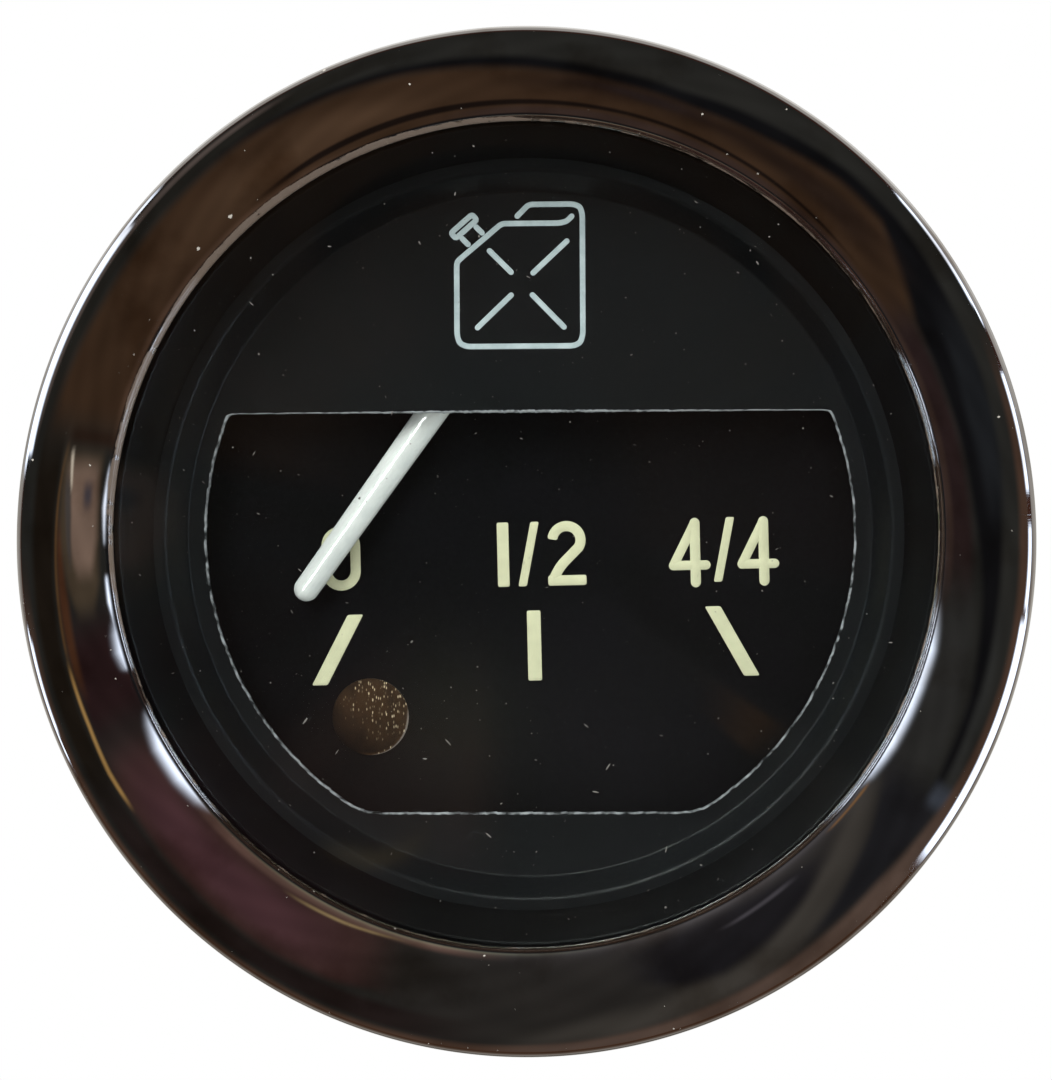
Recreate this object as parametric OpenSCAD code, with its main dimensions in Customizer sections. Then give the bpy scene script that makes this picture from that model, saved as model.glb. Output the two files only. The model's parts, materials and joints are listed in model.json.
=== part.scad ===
// Round fuel gauge for a 52 mm panel hole.
// The dial faces -Y, +Z is up, and y = 0 is the plane where the gasket meets the panel.

/* [Front ring] */
// Outer diameter of the chrome ring
bezel_d = 60.5; // [59:0.5:64]
// Diameter of the opening that the ring leaves clear
opening_d = 49; // [46:0.5:50]
// Sheet thickness of the ring
bezel_sheet = 0.6; // [0.4:0.1:0.8]
// Height of the ring's crest in front of the glass
crest_h = 1.8; // [1.7:0.1:3]
// Radius of the ring's broad crown
crown_r = 7; // [6:0.5:12]
// Radius of the roll at the ring's outer edge
edge_r = 1.1; // [0.9:0.1:1.4]
// Radius of the roll down to the glass
lip_r = 1.5; // [1.1:0.1:1.6]
// Outside radius of the bend into the crimped lip
crimp_bend_r = 0.9; // [0.8:0.1:1.2]
// Width of the crimped lip behind the flange
crimp_w = 3; // [2:0.1:3.2]

/* [Glass and mask] */
// Thickness of the glass
glass_t = 2; // [1.5:0.1:3]
// Thickness of the rubber seal behind the glass
seal_t = 0.8; // [0.5:0.1:1.5]
// Width of the rubber seal
seal_w = 3; // [2:0.1:3.2]
// Height of the black spacer ring
spacer_h = 2.3; // [1.5:0.1:3.5]
// Width of the spacer ring's front edge
spacer_edge_w = 0.6; // [0.4:0.1:1]
// Sheet thickness of the mask
mask_sheet = 0.5; // [0.3:0.1:0.8]
// Diameter of the mask's dish at its rim
mask_dish_d = 43.8; // [43:0.1:44.2]
// Diameter of the mask's flat face
mask_face_d = 41.6; // [41:0.1:42]
// Depth of the mask's dish
mask_dish_h = 2; // [1:0.1:3]
// Width of the mask's rim that shows inside the spacer ring
mask_rim_show = 0.7; // [0.4:0.1:1.2]
// Diameter of the mask's window
window_d = 39.4; // [38:0.1:40]
// Height of the window's straight top edge above the axis
window_top = 7.4; // [6:0.1:8]
// Depth of the window's straight bottom edge below the axis
window_bottom = 16.9; // [15:0.1:17]
// Fillet at the window's two top corners
window_fillet = 0.9; // [0.3:0.1:2]

/* [Dial] */
// Height of the distance ring between mask and dial
distance_h = 4.8; // [4.4:0.1:6]
// Width of the distance ring
distance_w = 2.2; // [1.4:0.1:2.3]
// Thickness of the dial plate
dial_t = 0.6; // [0.4:0.1:1]
// Thickness of the printed ink
ink_t = 0.06; // [0.05:0.01:0.1]
// Angle from the middle mark to the end marks
mark_angle = 28.2; // [24:0.1:30]
// Depth of the marks' upper ends below the axis
mark_top = 4.7; // [4.5:0.1:6]
// Length of the marks, measured straight down
mark_len = 4.3; // [3:0.1:5]
// Width of the marks
mark_w = 0.85; // [0.6:0.05:1.2]
// Height of the numerals
numeral_h = 3.95; // [3:0.05:4.2]
// Depth of the numerals' feet below the axis
numeral_foot = 3.2; // [3:0.1:3.8]
// Stroke width of the numerals
numeral_w = 0.62; // [0.4:0.02:0.7]
// Stroke width of the fraction strokes
slash_w = 0.48; // [0.3:0.02:0.6]
// Stroke width of the can symbol
symbol_w = 0.34; // [0.2:0.02:0.5]
// Diameter of the reserve lens
lens_d = 4.7; // [4:0.1:6]
// Distance of both lamps from the middle plane
lamp_x = 10; // [9.9:0.1:11]
// Depth of both lamps below the axis
lamp_drop = 11.2; // [11.2:0.1:12]

/* [Needle and movement] */
// Height of the needle's axis above the gauge's axis
pivot_z = 15.8; // [15:0.1:16.5]
// Length of the needle from its axis to its tip
needle_len = 24.1; // [20:0.1:24.5]
// Angle that the needle swings through between its stops
needle_sweep = 71.6; // [60:0.1:74]
// Width of the needle at its hub
needle_root_w = 2; // [1.6:0.1:2.4]
// Width of the needle at its tip
needle_tip_w = 1.45; // [1:0.05:1.8]
// Thickness of the needle at its ridge
needle_t = 0.9; // [0.6:0.1:1.2]
// Thickness of the needle at its edges
needle_edge_t = 0.45; // [0.3:0.05:0.5]
// Gap between the mask's back and the needle
needle_gap = 0.8; // [0.6:0.1:1.2]
// Diameter of the needle's hub
hub_d = 6.4; // [5:0.1:7]
// Diameter of the spindle
spindle_d = 1.5; // [1.2:0.1:2]
// Diameter of the stop pins
stop_pin_d = 0.8; // [0.6:0.1:1.2]
// Distance of the stop pins from the needle's axis
stop_r = 9; // [7:0.1:9]
// Diameter of the balance weight
weight_d = 2.4; // [2:0.1:2.6]
// Length of the balance weight
weight_len = 5; // [3:0.1:6]
// Distance of the balance weight's near end from the axis
weight_r = 5; // [4:0.1:5.5]
// Angle of the balance arm to the right of straight down, with the needle at rest
balance_angle = 45; // [35:1:55]
// Swing radius of the armature
armature_r = 4.5; // [3.5:0.1:4.8]
// Thickness of the armature
armature_t = 1.6; // [1:0.1:2.5]

/* [Coils and frame] */
// Angle of each coil's axis from straight down
coil_angle = 45; // [44:0.5:47]
// Diameter of the bobbins' flanges
bobbin_d = 11; // [9:0.1:11.2]
// Distance of the bobbins' near ends from the needle's axis
bobbin_near = 7; // [6.8:0.1:7.5]
// Length of the bobbins
bobbin_len = 12; // [10:0.1:12]
// Thickness of the bobbins' flanges
bobbin_flange_t = 0.8; // [0.5:0.1:1.2]
// Wall of the bobbins' tubes
bobbin_wall = 0.6; // [0.4:0.1:0.8]
// Depth of the winding below the flanges' edges
winding_inset = 0.5; // [0.2:0.1:1]
// Diameter of the coil cores
core_d = 4; // [3:0.1:4.4]
// Distance of the cores' tips from the needle's axis
core_tip = 5.5; // [5.3:0.1:6]
// Thickness of the iron yoke
yoke_t = 1.5; // [1:0.1:2]
// Width of the yoke's arms
yoke_w = 9; // [8:0.1:10]
// Thickness of the frame plate
frame_t = 1.5; // [1:0.1:2]
// Diameter of the frame plate
frame_d = 46; // [44:0.5:47]
// Pitch circle diameter of the three dial pillars
pillar_pcd = 40.4; // [39.8:0.1:40.8]
// Angle of the two upper pillars above the horizontal
pillar_angle = 40; // [38:1:44]
// Diameter of the dial pillars
pillar_d = 4.4; // [3.8:0.1:4.8]
// Length of the dial pillars
pillar_len = 23; // [22:0.1:24]
// Thickness of the front bridge
bridge_t = 1.2; // [0.8:0.1:1.6]
// Distance of the bridge posts from the middle plane
post_x = 9; // [8.5:0.1:10]
// Diameter of the bridge posts
post_d = 3.6; // [3:0.1:4]

/* [Can and mounting] */
// Diameter of the can behind the panel
can_d = 52; // [51.8:0.1:52.6]
// Depth of the can behind the panel
can_depth = 36; // [35:0.5:42]
// Sheet thickness of the can
can_wall = 0.8; // [0.6:0.1:1]
// Outside radius of the can's rear corner
can_corner_r = 2.5; // [1.5:0.1:3]
// Step of the can's wider neck, which centres the gasket
neck_step = 0.28; // [0.27:0.01:0.3]
// Thickness of the panel gasket
gasket_t = 1; // [0.5:0.1:2]
// Width of the panel gasket
gasket_w = 2.8; // [2:0.1:2.9]
// Distance of the studs from the middle plane
stud_x = 17; // [16:0.1:18]
// Height of the studs above the axis
stud_z = 3; // [2.5:0.1:3.5]
// Diameter of the studs
stud_d = 5; // [4:0.1:5]
// Length of the studs behind the can
stud_reach = 24; // [22:0.5:30]
// Width of the clamp bracket
clamp_w = 10; // [8:0.5:10]
// Sheet thickness of the clamp bracket
clamp_t = 1.5; // [1:0.1:2]
// Outside radius of the clamp bracket's bends
clamp_bend_r = 3; // [2.2:0.1:4]
// Gap between the can's wall and the clamp bracket's legs
clamp_side_gap = 1.2; // [1:0.1:1.4]
// Room for the panel between gasket and clamp feet, as drawn
panel_room = 5; // [4.5:0.5:8]
// Gap between the can's back and the clamp bracket, as drawn
clamp_back_gap = 6; // [5:0.5:8]
// Outer diameter of the thumb nuts
nut_d = 11; // [9:0.5:11]
// Length of the thumb nuts' knurled heads
nut_head_len = 6.5; // [5:0.5:9]
// Length of the thumb nuts' collars
nut_collar_len = 1.5; // [1:0.1:3]
// Number of knurls on each thumb nut
knurls = 28; // [20:1:36]
// Thickness of the lock washers
washer_t = 0.8; // [0.5:0.1:1.2]

/* [Terminals and lamps] */
// Width of the terminal board
board_w = 24; // [23:0.5:26]
// Height of the terminal board
board_h = 9.5; // [9:0.1:10]
// Thickness of the terminal board
board_t = 3; // [2:0.1:4]
// Height of the terminal board's middle above the axis
board_z = 14.8; // [14.2:0.1:15.5]
// Thickness of the inner insulator
insulator_t = 1; // [0.6:0.1:1.4]
// Width of the blade terminals
tab_w = 6.3; // [6:0.1:6.3]
// Thickness of the blade terminals
tab_t = 0.8; // [0.5:0.1:1]
// Length of the blade terminals behind the board
tab_len = 8; // [6:0.1:10]
// Pitch of the blade terminals
tab_pitch = 6.5; // [6:0.1:6.5]
// Diameter of the terminal rivets
rivet_d = 2.4; // [2:0.1:2.6]
// Diameter of the coil leads
lead_d = 0.6; // [0.4:0.1:1]
// Diameter of the lamp holders' barrels
barrel_d = 11.8; // [11:0.1:11.8]
// Diameter of the lamp holders' flanges
lamp_flange_d = 14; // [13.4:0.1:14.4]
// Thickness of the lamp holders' flanges
lamp_flange_t = 1.4; // [1:0.1:2]
// Length of the lamp holders' grips
grip_len = 7.6; // [6:0.1:10]
// Diameter of the lamp holders' grips
grip_d = 10; // [9:0.1:10.4]
// Distance from the bulb's tip to the can's back
bulb_reach = 16; // [14:0.1:17]
// Diameter of the bulbs' glass
bulb_d = 6.2; // [5:0.1:6.4]
// Diameter of the bulbs' metal caps
cap_d = 7; // [6.6:0.1:7.4]
// Length of the bulbs' metal caps
cap_len = 8; // [6:0.1:8.5]

/* [Hidden] */
$fn = 72;

// Clearances
fixed_gap = 0.02;      // between pieces that are pressed or screwed together
run_gap = 0.05;        // radial play of the spindle and of the nuts on their studs
hole_gap = 0.1;        // radial play of screws, rivets and lamp barrels in their holes
loose_gap = 0.25;      // radial play of the studs in the can and the clamp
ring_gap = 0.2;        // radial play of the loose rings inside the can
shell_gap = 0.3;       // between the can's flange and the chrome ring
glass_gap = 0.8;       // between the glass edge and the chrome ring
seal_gap = 0.3;        // between the seal and the chrome ring
gasket_gap = 0.06;     // between the gasket and the can's neck
dish_gap = 0.4;        // between the mask's dish and the distance ring
hub_gap = 0.3;         // between the mask's back and the needle's hub
dial_gap = 0.4;        // between the hub's back and the dial
swing_gap = 0.6;       // between the dial's back and the turning balance weight
end_gap = 0.3;         // end play of the spindle
bulb_gap = 1;          // between the light tube and the bulb's tip
bridge_gap = 4.6;      // between the dial's back and the front bridge, where the weight turns
yoke_gap = 1;          // between the bobbins and the yoke's legs
lip_stand = 0.15;      // least height of the lip roll's centre in front of the glass
lip_rise = 0.1;        // least rise of the crown past the lip roll
overcut = 1;           // how far a cutting shape runs past the surface that it cuts

// Radii of the front
bezel_r = bezel_d / 2;
opening_r = opening_d / 2;
crest_r = (opening_r + bezel_r) / 2;
bezel_bore_r = bezel_r - bezel_sheet;
flange_r = bezel_bore_r - shell_gap;
crimp_r = bezel_r - crimp_w;
glass_r = bezel_bore_r - glass_gap;
seal_r = bezel_bore_r - seal_gap;
can_r = can_d / 2;
can_bore_r = can_r - can_wall;
ring_r = can_bore_r - ring_gap;
gasket_r = can_r + neck_step + gasket_gap;
mask_dish_r = mask_dish_d / 2;
mask_face_r = mask_face_d / 2;
window_r = window_d / 2;

// Places along the axis, from the gasket forwards to the glass
crimp_back = -gasket_t;
crimp_front = crimp_back - bezel_sheet;
flange_front = crimp_front - can_wall;
glass_back = flange_front - seal_t;
glass_front = glass_back - glass_t;
crest_front = glass_front - crest_h;

// The lip roll ends in front of the glass, and the crown is as flat as that needs
lip_drop = crest_h - lip_stand;
lip_roll = min(lip_r, lip_drop - lip_rise);
lip_dx = crest_r - opening_r - lip_roll;
crown_least = (lip_dx * lip_dx + lip_drop * lip_drop - lip_roll * lip_roll) / (lip_drop - lip_roll) / 2;
crown_roll = max(crown_r, crown_least);

// Places along the axis, from the glass back to the can's end
mask_rim_front = glass_back + spacer_h;
mask_rim_back = mask_rim_front + mask_sheet;
mask_front = mask_rim_front + mask_dish_h;
mask_back = mask_front + mask_sheet;
dial_front = mask_rim_back + distance_h;
dial_back = dial_front + dial_t;
needle_front = mask_back + needle_gap;
needle_back = needle_front + needle_t;
hub_front = mask_back + hub_gap;
hub_back = dial_front - dial_gap;
spindle_front = hub_front + fixed_gap;
balance_y = dial_back + swing_gap + weight_d / 2;
bridge_front = dial_back + bridge_gap;
bridge_back = bridge_front + bridge_t;
frame_front = dial_back + pillar_len;
frame_back = frame_front + frame_t;
yoke_front = frame_front - yoke_t;
coil_shift = 1.15;
coil_y = (bridge_back + yoke_front) / 2 - coil_shift;
can_floor = can_depth - can_wall;
board_back = can_depth + board_t;
insulator_front = can_floor - insulator_t;

// Needle, stops and balance
rest_angle = needle_sweep / 2;
needle_inner = 1.6;
stop_half_w = needle_root_w / 2 + (needle_tip_w - needle_root_w) / 2 * stop_r / needle_len;
stop_offset = asin((stop_half_w + stop_pin_d / 2 + run_gap) / stop_r);
stop_proud = 0.1;
stop_front = needle_front - stop_proud;
boss_wall = 1.05;
boss_r = spindle_d / 2 + boss_wall;
arm_r = 0.5;
arm_end = 0.6;
arm_reach = weight_r + weight_len + arm_end;

// Bearings and bridge
bush_wall = 1.25;
bush_flange_w = 0.6;
bush_flange_t = 0.4;
bush_stand = 0.6;
rear_bush_reach = 1;
spindle_seat = 0.8;
bush_r = spindle_d / 2 + bush_wall;
bush_flange_r = bush_r + bush_flange_w;
front_bush_back = bridge_back + bush_stand;
rear_bush_front = yoke_front - rear_bush_reach;
rear_bush_back = frame_back + bush_stand;
spindle_back = yoke_front + spindle_seat;
post_z = pivot_z + 4.2;
post_tail_r = 1.2;
post_head_r = 1.9;
post_head_t = 0.5;
bridge_screw_r = 1;
bridge_screw_len = 3;
bridge_head_r = 1.9;
bridge_head_t = 1;
bridge_margin = 0.6;
tongue_margin = 0.8;
bridge_half_w = post_x + post_d / 2 + bridge_margin;
bridge_half_h = post_d / 2 + bridge_margin;
bridge_tongue_w = 2 * (bush_flange_r + tongue_margin);
bridge_foot = bush_flange_r + bridge_margin;

// Coils and yoke
bobbin_far = bobbin_near + bobbin_len;
bobbin_tube_r = core_d / 2 + fixed_gap + bobbin_wall;
winding_r = bobbin_d / 2 - winding_inset;
yoke_inner = bobbin_far + yoke_gap;
yoke_outer = yoke_inner + yoke_t;
yoke_leg_reach = 5;
yoke_leg_front = coil_y - yoke_leg_reach;
core_shoulder = 0.6;
core_tail_r = core_d / 2 - core_shoulder;
yoke_screw_at = 13;
yoke_screw_r = 1.25;
yoke_head_r = 2.3;
yoke_head_t = 1.4;

// Pillars, frame and dial screws
pillar_r = pillar_pcd / 2;
pillar_places = [[pillar_r * cos(pillar_angle), pillar_r * sin(pillar_angle)],
    [-pillar_r * cos(pillar_angle), pillar_r * sin(pillar_angle)], [0, -pillar_r]];
pillar_tail_r = 1.5;
frame_nut_flats = 5.5;
frame_nut_t = 2.4;
dial_screw_r = 1.2;
dial_screw_len = 3;
dial_head_r = 2.1;
dial_head_t = 0.9;
slot_w = 0.6;
slot_depth = 0.4;
frame_cut_z = -3.5;
frame_tongue_w = 6;
spacer_post_r = 4;
spacer_tail_r = 1.5;
stud_seat = 1;

// Terminals and leads
window_margin = 0.5;
window_half_w = tab_pitch + tab_t / 2 + window_margin;
window_half_h = tab_w / 2 + window_margin;
rivet_margin = 0.8;
rivet_head_w = 0.7;
rivet_x = board_w / 2 - rivet_d / 2 - rivet_margin;
rivet_head_r = rivet_d / 2 + rivet_head_w;
rivet_head_t = 0.7;
tab_tail = 0.6;
tab_hole_r = 0.85;
tab_hole_inset = 3.2;
tab_chamfer = 1;
lead_x = 4.5;
lead_z = pivot_z + 5.4;
lead_hole_gap = 0.7;
lead_hole_r = lead_d / 2 + lead_hole_gap;
lead_tab_gap = 0.1;
lead_lift = 2;
lead_end_at = 9.5;
earth_z = 8;

// Clamp and nuts
clamp_leg_in = can_r + clamp_side_gap;
clamp_leg_out = clamp_leg_in + clamp_t;
clamp_front = can_depth + clamp_back_gap;
clamp_back = clamp_front + clamp_t;
clamp_hole_r = stud_d / 2 + loose_gap;
washer_w = 1.5;
washer_r = stud_d / 2 + washer_w;
washer_tooth = 0.9;
washer_tooth_len = 0.7;
washer_teeth = 8;
nut_front = clamp_back + washer_t;
nut_head_front = nut_front + nut_collar_len;
nut_back = nut_head_front + nut_head_len;
nut_shoulder = 1.2;
nut_collar_r = nut_d / 2 - nut_shoulder;
nut_chamfer = 0.6;
knurl_depth = 0.45;
foot_notch_w = 4;
foot_notch_h = 0.8;

// Lamps
lens_r = lens_d / 2;
lens_flange_w = 0.7;
lens_flange_r = lens_r + lens_flange_w;
lens_flange_t = 0.6;
lens_dome = 0.25;
lamp_z = -lamp_drop;
tube_wall = 1;
tube_margin = 0.8;
tube_r = lens_flange_r + tube_wall;
tube_bore_r = lens_r + tube_margin;
barrel_r = barrel_d / 2;
barrel_hole_r = barrel_r + hole_gap;
barrel_len = 8;
grip_back = can_depth + lamp_flange_t + grip_len;
grip_ribs = 12;
bulb_tip = can_depth - bulb_reach;
bulb_r = bulb_d / 2;
bulb_straight = 2.6;
cap_front = bulb_tip + bulb_r + bulb_straight;
cap_back = cap_front + cap_len;
contact_w = 2.8;
contact_t = 0.5;
contact_x = 2;
contact_reach = 6;
contact_root = 2;
contact_hole_r = 0.5;

// Points along an arc, with the angles in degrees
function arc(cx, cy, r, from, to, steps) =
    [for (i = [0 : steps]) let (a = from + (to - from) * i / steps) [cx + r * cos(a), cy + r * sin(a)]];

// Extrudes an outline drawn as seen from the front, from one depth to another
module plate(front, back) {
    translate([0, back, 0]) rotate([90, 0, 0]) linear_extrude(back - front) children();
}

// Turns a profile of [radius, depth] about the gauge's axis
module turned(points) {
    rotate([-90, 0, 0]) rotate_extrude() polygon(points);
}

// A round bar along the gauge's axis
module rod(r, front, back) {
    translate([0, front, 0]) rotate([-90, 0, 0]) cylinder(r = r, h = back - front);
}

// A tube along the gauge's axis
module tube(r, bore, front, back) {
    difference() {
        rod(r, front, back);
        rod(bore, front - overcut, back + overcut);
    }
}

// A slab drawn as [depth, height] and centred on its own x
module slab(width) {
    translate([-width / 2, 0, 0]) rotate([90, 0, 90]) linear_extrude(width) children();
}

// Moves things to the needle's axis and turns what hangs straight down to the left by an angle
module hung(angle) {
    translate([0, 0, pivot_z]) rotate([0, angle, 0]) children();
}

// A screw with a slotted pan head, its head's underside at one depth and its shank running back
module screw(shank_r, head_r, head_t, seat, reach) {
    difference() {
        rod(head_r, seat - head_t, seat);
        translate([-head_r - overcut, seat - head_t - overcut, -slot_w / 2])
            cube([2 * (head_r + overcut), overcut + slot_depth, slot_w]);
    }
    rod(shank_r, seat, seat + reach);
}

// Strokes of one width along a chain of points, with round joints
module strokes(points, width) {
    for (i = [0 : len(points) - 2]) {
        step = points[i + 1] - points[i];
        translate(points[i]) rotate(atan2(step[1], step[0])) translate([0, -width / 2])
            square([norm(step), width]);
    }
    for (p = points) translate(p) circle(d = width, $fn = 24);
}

// The chrome ring is one rolled sheet: lip, crown, outer edge, wall and crimp
function ring_skin(inset) =
    let (cy = crest_front + crown_roll, edge_dx = bezel_r - edge_r - crest_r)
    let (edge_a = asin(edge_dx / (crown_roll - edge_r)), lip_a = asin(lip_dx / (crown_roll - lip_roll)))
    let (edge_y = cy - (crown_roll - edge_r) * cos(edge_a), lip_y = cy - (crown_roll - lip_roll) * cos(lip_a))
    concat(
        arc(opening_r + lip_roll, lip_y, lip_roll - inset, 180, 270 - lip_a, 10),
        arc(crest_r, cy, crown_roll - inset, 270 - lip_a, 270 + edge_a, 10),
        arc(bezel_r - edge_r, edge_y, edge_r - inset, 270 + edge_a, 360, 8),
        arc(bezel_r - crimp_bend_r, crimp_back - crimp_bend_r, crimp_bend_r - inset, 0, 90, 6));

function reversed(points) = [for (i = [len(points) - 1 : -1 : 0]) points[i]];

module bezel() {
    color("silver") turned(concat([[opening_r, glass_front]], ring_skin(0), [[crimp_r, crimp_back]],
        [[crimp_r, crimp_front]], reversed(ring_skin(bezel_sheet)),
        [[opening_r + bezel_sheet, glass_front]]));
}

module glass() {
    color("lightcyan", 0.3) rod(glass_r, glass_front, glass_back);
}

module glass_seal() {
    color("#202020") tube(seal_r, seal_r - seal_w, glass_back, flange_front);
}

module spacer_ring() {
    color("#101010") turned([[ring_r - spacer_edge_w, glass_back], [ring_r, glass_back],
        [ring_r, mask_rim_front], [mask_dish_r + mask_rim_show, mask_rim_front]]);
}

// The window is a circle cut flat at top and bottom, with its two top corners filleted
function window_points() =
    let (fillet_r = window_r - window_fillet, fillet_z = window_top - window_fillet)
    let (fillet_x = sqrt(fillet_r * fillet_r - fillet_z * fillet_z))
    let (top_a = atan2(fillet_z, fillet_x), bottom_a = -asin(window_bottom / window_r))
    let (right = concat(arc(0, 0, window_r, bottom_a, top_a, 40),
        arc(fillet_x, fillet_z, window_fillet, top_a, 90, 6)))
    concat(right, [for (p = reversed(right)) [-p[0], p[1]]]);

module mask() {
    color("#141618") difference() {
        turned([[0, mask_front], [mask_face_r, mask_front], [mask_dish_r, mask_rim_front],
            [ring_r, mask_rim_front], [ring_r, mask_rim_back], [mask_dish_r + mask_sheet, mask_rim_back],
            [mask_face_r + mask_sheet, mask_back], [0, mask_back]]);
        plate(mask_front - overcut, mask_back + overcut) polygon(window_points());
    }
}

// The can symbol: outline with its handle, a cross of four strokes, and the cap on its neck
symbol_outline = [[-0.6, 19.3], [0.1, 20], [2.75, 20], [3.2, 19.85], [3.35, 19.4], [3.35, 12.1],
    [3.2, 11.6], [2.8, 11.4], [-3.7, 11.4], [-4.15, 11.6], [-4.3, 12.1], [-4.3, 16.55], [-1.55, 18.85],
    [1.95, 18.85], [2.4, 18.95], [2.7, 19.25]];
symbol_cross = [[[-2.3, 17.2], [-1, 15.9]], [[2.4, 17.75], [0.35, 15.85]], [[-3.05, 12.55], [-1, 14.5]],
    [[0.3, 14.5], [2.2, 12.55]]];
symbol_legs = [[[-3.1, 18.65], [-2.75, 18.3]], [[-3.95, 17.95], [-3.6, 17.6]]];
symbol_cap_at = [-3.85, 18.7];
symbol_cap_turn = 41;
symbol_cap_half = [0.85, 0.22];

module fuel_symbol() {
    color("#b9c7c9") plate(mask_front - ink_t, mask_front) {
        strokes(symbol_outline, symbol_w);
        for (line = concat(symbol_cross, symbol_legs)) strokes(line, symbol_w);
        translate(symbol_cap_at) rotate(symbol_cap_turn) {
            w = symbol_cap_half[0];
            h = symbol_cap_half[1];
            strokes([[-w, -h], [w, -h], [w, h], [-w, h], [-w, -h]], symbol_w);
        }
    }
}

module distance_ring() {
    color("#18181a") tube(ring_r, ring_r - distance_w, mask_rim_back, dial_front);
}

module dial_plate() {
    color("#0c0c0f") difference() {
        rod(ring_r, dial_front, dial_back);
        translate([0, 0, pivot_z]) rod(boss_r, dial_front - overcut, dial_back + overcut);
        translate([-lamp_x, 0, lamp_z]) rod(lens_r + fixed_gap, dial_front - overcut, dial_back + overcut);
        for (p = pillar_places) translate([p[0], 0, p[1]])
            rod(dial_screw_r + hole_gap, dial_front - overcut, dial_back + overcut);
        for (side = [-1, 1]) hung(side * (rest_angle + stop_offset)) translate([0, 0, -stop_r])
            rod(stop_pin_d / 2 + fixed_gap, dial_front - overcut, dial_back + overcut);
    }
}

// Numerals are drawn from the left foot of each figure, with the figure's width given
module figure_zero(width) {
    bow = width / 2;
    inner = bow - numeral_w;
    difference() {
        polygon(concat(arc(bow, numeral_h - bow, bow, 0, 180, 16), arc(bow, bow, bow, 180, 360, 16)));
        polygon(concat(arc(bow, numeral_h - bow, inner, 0, 180, 16), arc(bow, bow, inner, 180, 360, 16)));
    }
}

module figure_slash(width) {
    foot_w = slash_w * 1.06;
    polygon([[0, 0], [foot_w, 0], [width, numeral_h], [width - foot_w, numeral_h]]);
}

module figure_two(width) {
    half = numeral_w / 2;
    bow = width / 2 - half;
    strokes(concat(arc(width / 2, numeral_h - half - bow, bow, 170, -38, 12),
        [[half, half], [width - half, half]]), numeral_w);
}

module figure_four(width) {
    half = numeral_w / 2;
    stem = width * 0.7;
    bar = numeral_h * 0.26;
    strokes([[width - half, bar], [half, bar], [stem, numeral_h - half], [stem, half]], numeral_w);
}

module mark(angle) {
    foot = mark_top + mark_len;
    half = mark_w / 2 / cos(angle);
    upper = tan(angle) * (pivot_z + mark_top);
    lower = tan(angle) * (pivot_z + foot);
    polygon([[upper - half, -mark_top], [upper + half, -mark_top],
        [lower + half, -foot], [lower - half, -foot]]);
}

// Left edges and widths of the figures, from left to right
zero_at = -13;
zero_width = 2.4;
one_at = -2.15;
one_width = 0.72;
half_slash_at = -0.9;
slash_width = 1.35;
two_at = 0.95;
two_width = 2.35;
four_at = 8.35;
full_slash_at = 11.1;
last_four_at = 12.55;
four_width = 2.3;

module scale_marks() {
    color("#d8d5a6") plate(dial_front - ink_t, dial_front) {
        for (angle = [-mark_angle, 0, mark_angle]) mark(angle);
        translate([0, -numeral_foot]) {
            translate([zero_at, 0]) figure_zero(zero_width);
            translate([one_at, 0]) square([one_width, numeral_h]);
            translate([half_slash_at, 0]) figure_slash(slash_width);
            translate([two_at, 0]) figure_two(two_width);
            translate([four_at, 0]) figure_four(four_width);
            translate([full_slash_at, 0]) figure_slash(slash_width);
            translate([last_four_at, 0]) figure_four(four_width);
        }
    }
}

module reserve_lens() {
    color("#3b2a1b") translate([-lamp_x, 0, lamp_z]) {
        rod(lens_r, dial_front - lens_dome, dial_back);
        rod(lens_flange_r, dial_back, dial_back + lens_flange_t);
    }
}

module light_tube() {
    color("white") translate([-lamp_x, 0, lamp_z]) difference() {
        rod(tube_r, dial_back, bulb_tip - bulb_gap);
        rod(tube_bore_r, dial_back, bulb_tip - bulb_gap + overcut);
        rod(lens_flange_r + fixed_gap, dial_back - overcut, dial_back + lens_flange_t + fixed_gap);
    }
}

module dial_screws() {
    color("dimgray") for (p = pillar_places) translate([p[0], 0, p[1]])
        screw(dial_screw_r, dial_head_r, dial_head_t, dial_front, dial_t + dial_screw_len);
}

module stop_pins() {
    color("dimgray") for (side = [-1, 1]) hung(side * (rest_angle + stop_offset)) translate([0, 0, -stop_r])
        rod(stop_pin_d / 2, stop_front, dial_back);
}

module housing() {
    corner_in = can_corner_r - can_wall;
    color("#b9a46a") difference() {
        turned(concat([[can_r + neck_step, crimp_front], [can_r + neck_step, 0], [can_r, 0]],
            arc(can_r - can_corner_r, can_depth - can_corner_r, can_corner_r, 0, 90, 8),
            [[0, can_depth], [0, can_floor]],
            arc(can_r - can_corner_r, can_depth - can_corner_r, corner_in, 90, 0, 8),
            [[can_bore_r, flange_front], [flange_r, flange_front], [flange_r, crimp_front]]));
        for (side = [-1, 1]) {
            translate([side * stud_x, 0, stud_z])
                rod(stud_d / 2 + hole_gap, can_floor - overcut, can_depth + overcut);
            translate([side * lamp_x, 0, lamp_z])
                rod(barrel_hole_r, can_floor - overcut, can_depth + overcut);
            translate([side * rivet_x, 0, board_z])
                rod(rivet_d / 2 + hole_gap, can_floor - overcut, can_depth + overcut);
        }
        translate([-window_half_w, can_floor - overcut, board_z - window_half_h])
            cube([2 * window_half_w, can_wall + 2 * overcut, 2 * window_half_h]);
    }
}

module panel_gasket() {
    color("#1c1c1c") tube(gasket_r + gasket_w, gasket_r, crimp_back, 0);
}

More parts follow.
